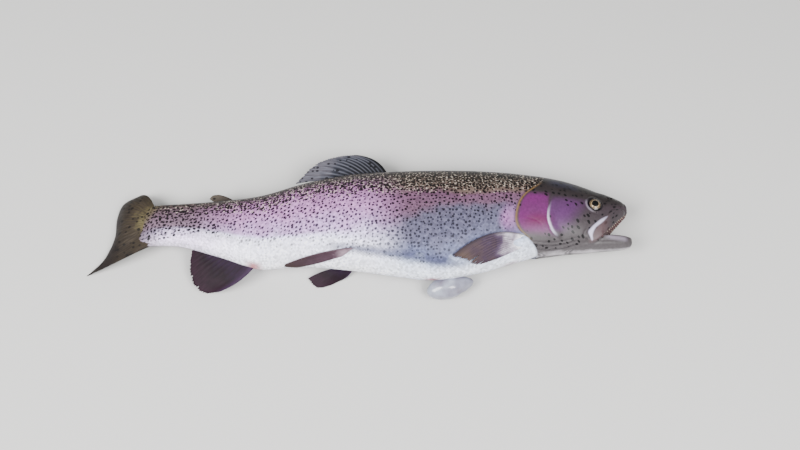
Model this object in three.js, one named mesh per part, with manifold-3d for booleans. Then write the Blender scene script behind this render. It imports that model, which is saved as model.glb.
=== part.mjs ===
// A rainbow trout at rest on its left flank: mouth open, right flank up.
// Millimetres, +Z up. The fish's head points to +X and its back to +Y, and
// the surface it lies on is z = 0. Along the body, a place is given by how
// far it is behind the tip of the snout, and round it by an angle that is 0
// on the ridge of the back, 90 on the right flank and 180 under the belly.

import * as THREE from 'three';
import { mergeVertices } from 'three/addons/utils/BufferGeometryUtils.js';
import Module from 'manifold-3d';

const wasm = await Module();
wasm.setup();

// ---- Driving dimensions ---------------------------------------------------

const SNOUT_X = 283; // where the tip of the snout is along X
const GAP = 0.3; // clearance between touching pieces
const MOUTH_CORNER = 33; // behind the snout
const TAIL_ROOT = 504; // where the flesh ends and the tail fin's rays begin
const THROAT = 66; // how far back the open mouth reaches
const CORNER_ANGLE = 132; // where the mouth's corners lie round the head
const RING_STEP = 12; // degrees between the points of a ring
const GAPE_STEPS = 10; // steps across the palate and the floor of the mouth
const ROUNDNESS = 0.93; // below 1 a section is fuller than an ellipse
const WIDEST = 0.52; // height of the widest place, as a share of the depth
const JAW_WIDEST = 0.42; // the same, for the upper jaw
const SNOUT_SINK = 0.1; // drop of the middle plane per mm ahead of the corner
const LEAST_HALF = 0.2; // half width that a jaw keeps at its very tip
const ARCH_POWER = 2.2; // above 2 the palate is flatter than a parabola
const WELD = 1e-4; // points nearer than this are one point

const PLATE_DEPTH = 2.6; // of the gill covers and maxillae
const EYE_RADIUS = 8.2;
const EYE_AT = 39; // behind the snout
const EYE_HEIGHT = 14.2; // above the axis
const EYE_SIDE = 14.4; // from the middle plane to the eye's centre
const FIN_HALF_THICKNESS = 0.45;
const TANGENT_STEP = 0.02; // share of a fin over which its slope is taken
const FIN_STEPS_ALONG = 8;
const FIN_STEPS_OUT = 4;
const FIN_ROOT_SHARE = 0.5; // of a fin, over which its thicker root thins out
const TOOTH_HEIGHT = 2.2;
const TOOTH_RADIUS = 0.7;
const TOOTH_ROOT = 1; // how far a tooth is sunk in its jaw
const TOOTH_SIDES = 5;
const TOOTH_FROM_LIP = 3; // degrees round the jaw
const UPPER_TOOTH_WAY = [0.6, -1, -0.15]; // forwards, down and inwards
const LOWER_TOOTH_WAY = [-0.15, 1, -0.15]; // backwards, up and inwards
const TEETH_INSET = 1.1; // from the outside of the lip
// Where the teeth stand, behind the snout.
const FRONT_TEETH = [1.4];
const MAXILLA_TEETH = [8, 12, 16, 20, 24];
const LOWER_TEETH = [1, 4.5, 8.5, 13, 18, 23];

const TONGUE = { at: 31, height: -20, halfSizes: [15, 2.8, 5] };
const LOBE = { x: 94, y: -63.5, z: 12, halfSizes: [25, 12, 12.5], turn: 15 };

// Where the flesh is cut into lengths, behind the snout.
const TRUNK_CUTS = [205, 300, 392];

// Bounds of the cutting solids, past the fish on every side.
const LOW = -30;
const HIGH = 110;
const FAR = 700;

// Sections behind the mouth's corner: heights of back and belly over the
// body's axis, half the width, and the height of the middle plane.
const BODY = [
  { at: 33, back: 38.0, belly: -29.5, half: 19.0, middle: 27.0 },
  { at: 47, back: 43.0, belly: -31.0, half: 23.0, middle: 27.5 },
  { at: 68, back: 49.0, belly: -32.5, half: 27.5, middle: 28.5 },
  { at: 89, back: 53.0, belly: -35.5, half: 30.0, middle: 29.3 },
  { at: 115, back: 56.5, belly: -41.0, half: 31.5, middle: 30.3 },
  { at: 157, back: 59.5, belly: -54.5, half: 33.0, middle: 31.5 },
  { at: 210, back: 60.4, belly: -63.0, half: 33.0, middle: 31.5 },
  { at: 241, back: 59.9, belly: -59.5, half: 32.0, middle: 31.0 },
  { at: 294, back: 56.8, belly: -51.5, half: 29.0, middle: 30.0 },
  { at: 346, back: 46.4, belly: -47.5, half: 24.5, middle: 28.5 },
  { at: 386, back: 34.0, belly: -50.0, half: 20.5, middle: 27.5 },
  { at: 430, back: 28.5, belly: -36.0, half: 15.0, middle: 26.0 },
  { at: 472, back: 26.0, belly: -23.5, half: 10.5, middle: 25.0 },
  { at: 504, back: 24.5, belly: -23.0, half: 6.5, middle: 24.0 },
];

// The upper jaw in front of the corner: its ridge, its lip and half its width.
const UPPER_JAW = [
  { at: 0, ridge: 19.0, lip: 16.0, half: 0.6 },
  { at: 1, ridge: 22.5, lip: 14.0, half: 4.8 },
  { at: 5, ridge: 27.0, lip: 9.5, half: 9.2 },
  { at: 12, ridge: 30.8, lip: 2.5, half: 12.8 },
  { at: 22, ridge: 34.8, lip: -8.0, half: 16.2 },
  { at: 33, ridge: 38.0, lip: -18.0, half: 19.0 },
];

// The lower jaw: its lip, its underside and half its width at the lip.
const LOWER_JAW = [
  { at: -1.5, lip: -18.5, under: -20.0, half: 0.5 },
  { at: 0, lip: -17.0, under: -22.5, half: 4.5 },
  { at: 5, lip: -16.2, under: -25.6, half: 8.4 },
  { at: 16, lip: -16.4, under: -27.7, half: 11.8 },
  { at: 33, lip: -18.0, under: -29.5, half: 14.4 },
];

// Inside the mouth: its roof and floor in the middle plane, and behind the
// corners the height and half width of its sides.
const MOUTH = [
  { at: -1.5, roof: 16.0, floor: -18.5, side: -18.0, half: 14.4 },
  { at: 0, roof: 16.0, floor: -18.2, side: -18.0, half: 14.4 },
  { at: 5, roof: 12.5, floor: -19.5, side: -18.0, half: 14.4 },
  { at: 16, roof: 9.5, floor: -22.5, side: -18.0, half: 14.4 },
  { at: 33, roof: 4.0, floor: -24.0, side: -18.0, half: 14.4 },
  { at: 38, roof: 2.5, floor: -23.5, side: -17.0, half: 11.5 },
  { at: 50, roof: -2.0, floor: -21.5, side: -14.5, half: 9.0 },
  { at: 66, roof: -8.0, floor: -17.0, side: -12.5, half: 4.5 },
];

// The edge of the gill opening in side view: behind the snout, height.
const GILL_EDGE = [[82, 75], [88, 48], [95, 36], [103, 28.5], [113, 19.5], [120, 9], [124, -5],
  [123.5, -14], [119, -21], [108, -29], [101, -36], [95, -43], [82, -60]];
// The gill cover's outline. Its rear runs past the gill opening, which trims it.
const GILL_COVER = [[62, 6], [68, 20], [82, 31], [104, 38], [124, 24], [136, 2], [132, -18],
  [114, -34], [92, -32], [74, -24], [64, -10]];
// The strap of the upper jaw that swings down over the corner of the mouth.
const MAXILLA = [[8, 15], [20, 12], [28, 2], [40, -8], [49, -15.5], [51, -22], [46, -26],
  [39, -24.5], [33, -19.5], [25, -16], [12, -3], [3, 6], [4, 13]];
// The cut that frees the lower jaw: through the gape, then down to the joint.
const JAW_CUT = [[-20, -6], [16, -12], [28, -16.4], [33, -18], [48, -24], [62, -31], [68, -60]];

const COLOURS = {
  head: 0x6f6468,
  gillCover: 0x95598c,
  jaw: 0x8c8688,
  trunk: 0xa796ac,
  tailFin: 0x5a4c44,
  backFin: 0x4b4b54,
  bellyFin: 0x4f3b4c,
  sideFin: 0x6a5b60,
  eye: 0xc9b98f,
  tongue: 0xb98f90,
  stomach: 0xc7ccd8,
};

// ---- Curves and sections --------------------------------------------------

/** Smooth value of one named size at a place, through the rows of a table. */
function sizeAt(table, key, at) {
  const last = table.length - 1;
  const x = THREE.MathUtils.clamp(at, table[0].at, table[last].at);
  let i = 0;
  while (i < last - 1 && x > table[i + 1].at) i += 1;
  const slope = (k) => (table[k + 1][key] - table[k][key]) / (table[k + 1].at - table[k].at);
  const span = (k) => table[k + 1].at - table[k].at;
  const tangent = (k) => {
    if (k === 0) return slope(0);
    if (k === last) return slope(last - 1);
    return (slope(k - 1) * span(k) + slope(k) * span(k - 1)) / (span(k - 1) + span(k));
  };
  const h = span(i);
  const t = (x - table[i].at) / h;
  const s = 1 - t;
  return (1 + 2 * t) * s * s * table[i][key] + t * s * s * h * tangent(i)
    + t * t * (3 - 2 * t) * table[i + 1][key] - t * t * s * h * tangent(i + 1);
}

const radians = THREE.MathUtils.degToRad;
const fullSine = (angle) => Math.sign(Math.sin(angle)) * Math.abs(Math.sin(angle)) ** ROUNDNESS;

/** Height of the middle plane; in front of the corner the snout sinks a little. */
function middleAt(at) {
  return sizeAt(BODY, 'middle', at) - SNOUT_SINK * Math.max(MOUTH_CORNER - at, 0);
}

/** A point given behind the snout, above the axis and to the right of it. */
function place(at, height, right) {
  return new THREE.Vector3(SNOUT_X - at, height, Math.max(middleAt(at) + right, 0));
}

/** A point on the flesh behind the mouth's corner, lifted off it by `lift`. */
function onBody(at, degrees, lift = 0) {
  const angle = radians(degrees);
  const back = sizeAt(BODY, 'back', at) + lift;
  const belly = sizeAt(BODY, 'belly', at) - lift;
  const widest = belly + WIDEST * (back - belly);
  const reach = Math.cos(angle) > 0 ? back - widest : widest - belly;
  return place(at, widest + reach * Math.cos(angle), (sizeAt(BODY, 'half', at) + lift) * fullSine(angle));
}

/** A point on the outside of the upper jaw. */
function onUpperJaw(at, degrees, lift = 0) {
  const angle = radians(degrees);
  const ridge = sizeAt(UPPER_JAW, 'ridge', at) + lift;
  const lip = sizeAt(UPPER_JAW, 'lip', at);
  const widest = lip + JAW_WIDEST * (ridge - lip);
  const reach = Math.cos(angle) > 0 ? ridge - widest : (widest - lip) / -Math.cos(radians(CORNER_ANGLE));
  const half = Math.max(sizeAt(UPPER_JAW, 'half', at) + lift, LEAST_HALF);
  return place(at, widest + reach * Math.cos(angle), half * fullSine(angle));
}

/** A point on the outside of the lower jaw, from lip to underside. */
function onLowerJaw(at, degrees) {
  const angle = radians(degrees);
  const lipCosine = Math.cos(radians(CORNER_ANGLE));
  const down = (lipCosine - Math.cos(angle)) / (lipCosine + 1);
  const lip = sizeAt(LOWER_JAW, 'lip', at);
  const under = sizeAt(LOWER_JAW, 'under', at);
  const out = fullSine(angle) / fullSine(radians(CORNER_ANGLE));
  return place(at, lip + (under - lip) * down, sizeAt(LOWER_JAW, 'half', at) * out);
}

/** One arc inside the mouth, from its right side to its left. */
function mouthArc(at, half, side, middle) {
  const arc = [];
  for (let i = 0; i <= GAPE_STEPS; i += 1) {
    const across = 1 - (2 * i) / GAPE_STEPS;
    const rise = 1 - Math.abs(across) ** ARCH_POWER;
    arc.push(place(at, side + (middle - side) * rise, half * across));
  }
  return arc;
}

/** Angles from one to another, a ring's step apart. */
function angles(from, to) {
  const count = Math.round(Math.abs(to - from) / RING_STEP);
  return Array.from({ length: count + 1 }, (_, i) => from + ((to - from) * i) / count);
}

const upperAngles = angles(-CORNER_ANGLE, CORNER_ANGLE);
const lowerAngles = angles(CORNER_ANGLE, 360 - CORNER_ANGLE);
const ringAngles = angles(0, 360).slice(0, -1);

// ---- Meshes from rows of points -------------------------------------------

/** Collects triangles, and welds them into a solid that can be joined and cut. */
class Surface {
  constructor() {
    this.corners = [];
  }

  triangle(a, b, c) {
    this.corners.push(a, b, c);
  }

  /** Faces between neighbouring rows of points of the same length. */
  rows(rows, closed = true) {
    for (let i = 0; i + 1 < rows.length; i += 1) {
      const count = rows[i].length;
      for (let j = 0; j < (closed ? count : count - 1); j += 1) {
        const k = (j + 1) % count;
        this.triangle(rows[i][j], rows[i + 1][j], rows[i][k]);
        this.triangle(rows[i][k], rows[i + 1][j], rows[i + 1][k]);
      }
    }
    return this;
  }

  /** A lid on a ring, facing the way its points turn. */
  lid(ring) {
    const centre = ring.reduce((sum, p) => sum.add(p), new THREE.Vector3()).divideScalar(ring.length);
    ring.forEach((p, j) => this.triangle(centre, p, ring[(j + 1) % ring.length]));
    return this;
  }

  solid() {
    const geometry = new THREE.BufferGeometry().setFromPoints(this.corners);
    return toSolid(geometry);
  }
}

/** A closed three.js geometry as a manifold solid, its faces turned outwards. */
function toSolid(source) {
  const bare = source.index ? source.toNonIndexed() : source;
  bare.deleteAttribute('normal');
  bare.deleteAttribute('uv');
  const { index, attributes } = mergeVertices(bare, WELD);
  const faces = [];
  for (let i = 0; i < index.count; i += 3) {
    const [a, b, c] = [index.getX(i), index.getX(i + 1), index.getX(i + 2)];
    if (a !== b && b !== c && c !== a) faces.push([a, b, c]);
  }
  const solidOf = (triangles) => new wasm.Manifold(new wasm.Mesh({
    numProp: 3,
    vertProperties: Float32Array.from(attributes.position.array),
    triVerts: Uint32Array.from(triangles.flat()),
  }));
  const solid = solidOf(faces);
  return solid.volume() > 0 ? solid : solidOf(faces.map(([a, b, c]) => [b, a, c]));
}

/** An outline in side view, pushed through the fish between two heights. */
function prism(outline, bottom, top) {
  const shape = new THREE.Shape(outline.map(([at, height]) => new THREE.Vector2(SNOUT_X - at, height)));
  const geometry = new THREE.ExtrudeGeometry(shape, { depth: top - bottom, bevelEnabled: false });
  return toSolid(geometry.translate(0, 0, bottom));
}

/** A smooth closed outline through a few points, grown outwards by `grow`. */
function roundedOutline(points, grow = 0) {
  const pointsPerKnot = 1.5;
  const knots = points.map(([at, height]) => new THREE.Vector3(at, height, 0));
  const curve = new THREE.CatmullRomCurve3(knots, true, 'centripetal');
  const turn = THREE.ShapeUtils.area(points.map(([x, y]) => ({ x, y }))) > 0 ? 1 : -1;
  const count = Math.round(points.length * pointsPerKnot);
  return Array.from({ length: count }, (_, i) => {
    const p = curve.getPoint(i / count);
    const along = curve.getTangent(i / count);
    return [p.x + grow * turn * along.y, p.y - grow * turn * along.x];
  });
}

// ---- The flesh, whole -----------------------------------------------------

const BODY_PLACES = [33, 40, 48, 58, 69, 81, 93, 105, 117, 130, 146, 164, 184];
for (let at = 204; at <= TAIL_ROOT; at += 20) BODY_PLACES.push(at);
const UPPER_PLACES = [33, 26, 19, 12, 7, 3.5, 1.3, 0.3];
const LOWER_PLACES = [33, 25, 17, 10, 5, 2, 0.2, -1];
const CAVITY_PLACES = [33, 38, 45, 55, THROAT];

/** The open-mouthed fish without fins, as one closed solid. */
function wholeFlesh() {
  const body = BODY_PLACES.map((at) => ringAngles.map((degrees) => onBody(at, degrees)));
  const surface = new Surface().rows(body).lid(body[body.length - 1].slice().reverse());

  const upper = UPPER_PLACES.map((at) => {
    const atCorner = at === MOUTH_CORNER;
    const outside = upperAngles.map((degrees) => (atCorner ? onBody(at, degrees) : onUpperJaw(at, degrees)));
    const lipHalf = Math.abs(outside[0].z - middleAt(at));
    const roof = mouthArc(at, lipHalf, outside[0].y, Math.max(sizeAt(MOUTH, 'roof', at), outside[0].y));
    return outside.concat(roof.slice(1, -1));
  });
  const lower = LOWER_PLACES.map((at) => {
    const atCorner = at === MOUTH_CORNER;
    const outside = lowerAngles.map((degrees) => (atCorner ? onBody(at, degrees) : onLowerJaw(at, degrees)));
    const lipHalf = Math.abs(outside[0].z - middleAt(at));
    const floor = mouthArc(at, lipHalf, outside[0].y, sizeAt(MOUTH, 'floor', at)).reverse();
    return outside.concat(floor.slice(1, -1));
  });
  for (const jaw of [upper, lower]) {
    surface.rows(jaw.slice().reverse()).lid(jaw[jaw.length - 1]);
  }

  const cavity = CAVITY_PLACES.map((at) => {
    const atCorner = at === MOUTH_CORNER;
    const corner = onBody(at, CORNER_ANGLE);
    const half = atCorner ? corner.z - middleAt(at) : sizeAt(MOUTH, 'half', at);
    const side = atCorner ? corner.y : sizeAt(MOUTH, 'side', at);
    const roof = mouthArc(at, half, side, sizeAt(MOUTH, 'roof', at));
    const floor = mouthArc(at, half, side, sizeAt(MOUTH, 'floor', at)).reverse();
    return roof.slice(0, -1).concat(floor.slice(0, -1));
  });
  return surface.rows(cavity).lid(cavity[cavity.length - 1].slice().reverse()).solid();
}

/** The fish's outline swollen or shrunk by `lift`, with its gape filled in. */
function filledFlesh(lift) {
  const front = UPPER_PLACES.slice(1).reverse();
  const rings = front.map((at) => ringAngles.map((degrees) => onUpperJaw(at, degrees, lift)));
  BODY_PLACES.forEach((at) => rings.push(ringAngles.map((degrees) => onBody(at, degrees, lift))));
  return new Surface().rows(rings).lid(rings[0]).lid(rings[rings.length - 1].slice().reverse()).solid();
}

// ---- Fins -----------------------------------------------------------------

/**
 * A fin as a thin plate. Its rays run from a curve of roots to a curve of
 * tips, each bowed by the bend at its place between the two.
 */
function finPlate({ roots, tips, bends, rootHalf = FIN_HALF_THICKNESS }) {
  const curves = [roots, tips, bends].map((points) => new THREE.CatmullRomCurve3(points));
  const middle = (p, q) => {
    const [root, tip, bend] = curves.map((curve) => curve.getPoint(p));
    const point = root.lerp(tip, q).addScaledVector(bend, 4 * q * (1 - q));
    point.z = Math.max(point.z, FIN_HALF_THICKNESS);
    return point;
  };
  const rings = [];
  for (let i = 0; i <= FIN_STEPS_ALONG; i += 1) {
    const p = i / FIN_STEPS_ALONG;
    const upper = [];
    const lower = [];
    for (let j = 0; j <= FIN_STEPS_OUT; j += 1) {
      const q = j / FIN_STEPS_OUT;
      const along = middle(Math.min(p + TANGENT_STEP, 1), q).sub(middle(Math.max(p - TANGENT_STEP, 0), q));
      const out = middle(p, Math.min(q + TANGENT_STEP, 1)).sub(middle(p, Math.max(q - TANGENT_STEP, 0)));
      const normal = along.cross(out).normalize();
      const half = THREE.MathUtils.lerp(rootHalf, FIN_HALF_THICKNESS, Math.min(q / FIN_ROOT_SHARE, 1));
      for (const [layer, side] of [[upper, half], [lower, -half]]) {
        const point = middle(p, q).addScaledVector(normal, side);
        point.z = Math.max(point.z, 0);
        layer.push(point);
      }
    }
    rings.push(upper.concat(lower.reverse()));
  }
  const surface = new Surface().rows(rings);
  for (const ring of [rings[0], rings[rings.length - 1].slice().reverse()]) {
    for (let j = 0; j < FIN_STEPS_OUT; j += 1) {
      const far = ring.length - 1 - j;
      surface.triangle(ring[j], ring[j + 1], ring[far]);
      surface.triangle(ring[j + 1], ring[far - 1], ring[far]);
    }
  }
  return surface.solid();
}

const vector = (x, y, z) => new THREE.Vector3(x, y, z);
/** A point behind the snout and above the axis, at a height over the ground. */
const spot = (at, height, z) => vector(SNOUT_X - at, height, z);

const FINS = {
  dorsal_fin: {
    colour: COLOURS.backFin,
    roots: [spot(253, 56, 31), spot(275, 55, 30.5), spot(298, 52, 30)],
    tips: [spot(290, 86, 28), spot(310, 84, 27), spot(332, 75, 27), spot(354, 49, 28)],
    bends: [vector(5, 6, 0), vector(3, 5, 1), vector(0, 2, 1)],
  },
  adipose_fin: {
    colour: COLOURS.backFin,
    roots: [spot(414, 25, 26.4), spot(423, 24, 26.2), spot(432, 23, 26)],
    tips: [spot(436, 38, 25), spot(442, 37, 25), spot(445, 33, 25)],
    bends: [vector(2, 2, 0), vector(1, 1, 0), vector(0, 0, 0)],
  },
  anal_fin: {
    colour: COLOURS.bellyFin,
    roots: [spot(388, -44, 27), spot(416, -34, 26.5), spot(443, -25, 25.5)],
    tips: [spot(428, -68, 9), spot(444, -69, 8), spot(455, -60, 9), spot(460, -43, 14), spot(458, -26, 21)],
    bends: [vector(3, -4, 2), vector(0, -1, 3), vector(0, 0, 1)],
  },
  caudal_fin: {
    colour: COLOURS.tailFin,
    roots: [spot(502, 23, 24), spot(506, 11, 24), spot(508, 1, 24), spot(506, -9, 24), spot(502, -21.5, 24)],
    tips: [spot(531, 46, 1), spot(544, 38, 1), spot(548, 19, 2), spot(546, -3, 5), spot(554, -29, 4),
      spot(567, -43, 1), spot(571, -47, 1)],
    bends: [vector(2, 6, 6), vector(-3, 3, 7), vector(-4, 0, 5), vector(0, 1, 3), vector(0, -3, 3)],
    rootHalf: 3,
  },
  pelvic_fin_right: {
    colour: COLOURS.sideFin,
    roots: [onBody(288, 138, -1.5), onBody(294, 145, -1.5), onBody(300, 152, -1.5)],
    tips: [onBody(358, 166, 1.5), onBody(359, 171, 2), onBody(347, 179, 2)],
    bends: [onBody(323, 143, 3).sub(onBody(323, 150, 0)), vector(0, 0, 2), vector(0, -3, 3)],
  },
  pelvic_fin_left: {
    colour: COLOURS.bellyFin,
    roots: [onBody(288, -138, -1.5), onBody(294, -145, -1.5), onBody(300, -152, -1.5)],
    tips: [spot(305, -52, 1), spot(316, -58, 1), spot(328, -60, 1), spot(338, -50, 2)],
    bends: [vector(2, -3, -1), vector(0, 0, 0), vector(-2, 2, 0)],
  },
  pectoral_fin_right: {
    colour: COLOURS.sideFin,
    roots: [onBody(101, 138, -1.5), onBody(105, 145, -1.5), onBody(109, 152, -1.5)],
    tips: [onBody(190, 141, 2), onBody(176, 147, 3), onBody(165, 157, 3), onBody(142, 156, 2)],
    bends: [onBody(143, 123, 3).sub(onBody(143, 141, -5)), vector(0, 4, 6), vector(0, -2, 4)],
  },
  pectoral_fin_left: {
    colour: COLOURS.sideFin,
    roots: [onBody(101, -138, -1.5), onBody(105, -145, -1.5), onBody(109, -152, -1.5)],
    tips: [spot(182, -27, 1), spot(178, -34, 1), spot(166, -41, 1), spot(144, -38, 1)],
    bends: [vector(0, 6, -4), vector(0, 3, -4), vector(0, 1, -4)],
  },
};

// ---- Teeth, tongue, eyes and the lobe of stomach --------------------------

/** One tooth on one side of a lip, pointing across the gape, swollen by `grow`. */
function tooth(root, pointing, grow) {
  const height = TOOTH_HEIGHT + TOOTH_ROOT + 2 * grow;
  const cone = new THREE.ConeGeometry(TOOTH_RADIUS + grow, height, TOOTH_SIDES);
  cone.translate(0, height / 2 - TOOTH_ROOT - grow, 0);
  cone.applyQuaternion(new THREE.Quaternion().setFromUnitVectors(vector(0, 1, 0), pointing.normalize()));
  return toSolid(cone.translate(root.x, root.y, root.z));
}

function upperTooth(at, side, grow = 0) {
  const root = onUpperJaw(at, side * (CORNER_ANGLE - TOOTH_FROM_LIP), -TEETH_INSET);
  const [x, y, z] = UPPER_TOOTH_WAY;
  return tooth(root, vector(x, y, z * side), grow);
}

function lowerTooth(at, side, grow = 0) {
  const lip = onLowerJaw(at, side * (CORNER_ANGLE + TOOTH_FROM_LIP));
  const [x, y, z] = LOWER_TOOTH_WAY;
  return tooth(lip.add(vector(0, 0, -TEETH_INSET * side)), vector(x, y, z * side), grow);
}

/** An eyeball, with one of its poles turned outwards. */
function eyeball(side, grow = 0) {
  const centre = place(EYE_AT, EYE_HEIGHT, side * EYE_SIDE);
  const ball = new THREE.SphereGeometry(EYE_RADIUS + grow, 12, 8).rotateX(Math.PI / 2);
  return toSolid(ball.translate(centre.x, centre.y, centre.z));
}

function tongue() {
  const centre = place(TONGUE.at, TONGUE.height, 0);
  const ball = new THREE.SphereGeometry(1, 10, 6).scale(...TONGUE.halfSizes);
  return toSolid(ball.translate(centre.x, centre.y, centre.z));
}

/** The lobe that hangs from the slit belly and rests on the ground. */
function stomachLobe(flesh) {
  const ball = new THREE.SphereGeometry(1, 14, 8).scale(...LOBE.halfSizes);
  const lobe = toSolid(ball.rotateZ(radians(LOBE.turn)).translate(LOBE.x, LOBE.y, LOBE.z));
  const aboveGround = prism([[0, -FAR], [FAR, -FAR], [FAR, 0], [0, 0]], 0, HIGH);
  return lobe.intersect(aboveGround).subtract(flesh);
}

// ---- Parting the whole into its named pieces ------------------------------

/** All that lies in front of the gill opening, its edge moved by `shift`. */
function frontOfGills(shift) {
  const edge = GILL_EDGE.map(([at, height]) => [at + shift, height]);
  const [top, bottom] = [edge[0][1], edge[edge.length - 1][1]];
  return prism(edge.concat([[-FAR, bottom], [-FAR, top]]), LOW, HIGH);
}

/** All that lies under the cut that frees the lower jaw. */
function underJawCut(shift) {
  const cut = JAW_CUT.map(([at, height]) => [at + shift, height + shift]);
  const bottom = cut[cut.length - 1][1];
  return prism(cut.concat([[cut[0][0], bottom]]), LOW, HIGH);
}

/** A length of the trunk between two cuts. */
function between(from, to) {
  return prism([[from, -FAR], [to, -FAR], [to, FAR], [from, FAR]], LOW, HIGH);
}

/** A plate on one side of the head, as deep as the gill cover. */
function sidePlate(outline, side, grow = 0) {
  const middle = middleAt(outline[0][0]);
  const range = side > 0 ? [middle, HIGH] : [LOW, middle];
  return prism(roundedOutline(outline, grow), ...range);
}

/** A piece with its teeth, one on each side at each place. */
function withTeeth(piece, places, toothAt, sides = [-1, 1]) {
  const rows = places.flatMap((at) => sides.map((side) => toothAt(at, side)));
  return rows.reduce((joined, one) => joined.add(one), piece);
}

const whole = wholeFlesh();
const plateFloor = filledFlesh(-PLATE_DEPTH);
const plateBed = filledFlesh(-PLATE_DEPTH - GAP);
const swollen = filledFlesh(GAP);
const headFlesh = whole.intersect(frontOfGills(0));

const pieces = [];
let headBare = headFlesh;
for (const [name, side] of [['right', 1], ['left', -1]]) {
  const strap = headFlesh.intersect(sidePlate(MAXILLA, side)).subtract(plateFloor);
  const cover = headFlesh.intersect(sidePlate(GILL_COVER, side)).subtract(plateFloor);
  pieces.push([`maxilla_${name}`, withTeeth(strap, MAXILLA_TEETH, upperTooth, [side]), COLOURS.jaw]);
  pieces.push([`gill_cover_${name}`, cover, COLOURS.gillCover]);
  pieces.push([`eye_${name}`, eyeball(side), COLOURS.eye]);
  for (const outline of [MAXILLA, GILL_COVER]) {
    headBare = headBare.subtract(sidePlate(outline, side, GAP).subtract(plateBed));
  }
  headBare = headBare.subtract(eyeball(side, GAP));
  for (const at of MAXILLA_TEETH) headBare = headBare.subtract(upperTooth(at, side, GAP));
}
const head = headBare.subtract(underJawCut(GAP));
const jaw = headBare.intersect(underJawCut(0));
pieces.push(['head', withTeeth(head, FRONT_TEETH, upperTooth), COLOURS.head]);
pieces.push(['lower_jaw', withTeeth(jaw, LOWER_TEETH, lowerTooth), COLOURS.jaw]);
pieces.push(['tongue', tongue(), COLOURS.tongue]);

const trunk = whole.subtract(frontOfGills(GAP));
const cuts = [0, ...TRUNK_CUTS, FAR];
['trunk_front', 'trunk_middle', 'trunk_rear', 'caudal_peduncle'].forEach((name, i) => {
  pieces.push([name, trunk.intersect(between(cuts[i] + GAP, cuts[i + 1])), COLOURS.trunk]);
});
for (const [name, fin] of Object.entries(FINS)) {
  pieces.push([name, finPlate(fin).subtract(swollen), fin.colour]);
}
pieces.push(['stomach_lobe', stomachLobe(swollen), COLOURS.stomach]);

/** A solid as a three.js mesh in its own wet-looking material. */
function toMesh([name, solid, colour]) {
  const { vertProperties, triVerts } = solid.getMesh();
  const geometry = new THREE.BufferGeometry();
  geometry.setAttribute('position', new THREE.BufferAttribute(vertProperties, 3));
  geometry.setIndex(new THREE.BufferAttribute(triVerts, 1));
  geometry.computeVertexNormals();
  const material = new THREE.MeshStandardMaterial({ color: colour, roughness: 0.35, metalness: 0 });
  const mesh = new THREE.Mesh(geometry, material);
  mesh.name = name;
  return mesh;
}

const fish = new THREE.Group();
fish.add(...pieces.map(toMesh));

// The origin is on the ground, under the middle of the fish.
const centre = new THREE.Box3().setFromObject(fish).getCenter(new THREE.Vector3());
fish.position.set(-centre.x, -centre.y, 0);

export default fish;
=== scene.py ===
"""A rainbow trout at rest on its left flank, mouth agape and right flank up.

Sizes along and round the fish are in millimetres. "At" is how far a place lies
behind the tip of the snout, "height" is over the body's axis towards the back,
and an angle round the body is 0 on the ridge of the back, 90 on the right flank,
-90 on the left flank and 180 under the belly.
"""

import math

import bpy
import numpy as np
from mathutils import Matrix, Vector
from bpy.props import FloatProperty, FloatVectorProperty, PointerProperty


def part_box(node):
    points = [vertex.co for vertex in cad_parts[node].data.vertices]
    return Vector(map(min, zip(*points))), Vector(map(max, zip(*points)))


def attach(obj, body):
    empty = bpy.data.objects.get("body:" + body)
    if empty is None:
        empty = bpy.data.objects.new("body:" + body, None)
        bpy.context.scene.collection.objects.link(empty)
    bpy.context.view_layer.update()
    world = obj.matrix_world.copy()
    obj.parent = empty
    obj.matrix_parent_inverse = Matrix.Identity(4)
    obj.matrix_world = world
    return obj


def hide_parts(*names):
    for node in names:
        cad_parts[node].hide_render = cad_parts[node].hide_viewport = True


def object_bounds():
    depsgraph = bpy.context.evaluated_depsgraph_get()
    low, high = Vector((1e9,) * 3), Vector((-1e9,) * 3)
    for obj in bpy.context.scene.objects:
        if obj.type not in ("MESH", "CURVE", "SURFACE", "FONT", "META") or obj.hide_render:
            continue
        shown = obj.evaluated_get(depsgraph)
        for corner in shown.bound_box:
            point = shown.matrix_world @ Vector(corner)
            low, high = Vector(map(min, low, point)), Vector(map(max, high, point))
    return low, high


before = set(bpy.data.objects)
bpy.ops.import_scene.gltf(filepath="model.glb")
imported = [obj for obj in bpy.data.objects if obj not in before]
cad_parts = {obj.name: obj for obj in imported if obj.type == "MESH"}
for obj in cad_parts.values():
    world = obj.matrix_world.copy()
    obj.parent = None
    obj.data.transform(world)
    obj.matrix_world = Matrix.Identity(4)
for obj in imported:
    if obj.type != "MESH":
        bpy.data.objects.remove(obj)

bl_info = {
    "name": "Rainbow Trout",
    "version": (1, 0, 0),
    "blender": (4, 5, 0),
    "location": "View3D > Sidebar > Trout",
    "description": "Builds a life-size rainbow trout lying on its flank",
    "category": "Add Mesh",
}

MM = 0.001
CAD_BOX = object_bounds()
JAW_TIP = 1.0  # the lower jaw reaches this far in front of the snout
DEEPEST_BACK = 60.4  # top of the trunk over the body's axis
SNOUT_X = CAD_BOX[1].x / MM - JAW_TIP
AXIS_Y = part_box("trunk_middle")[1].y / MM - DEEPEST_BACK
LENGTH = 504.0  # from the snout to the root of the tail fin

# ---- Sections of the body ----------------------------------------------------

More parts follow.
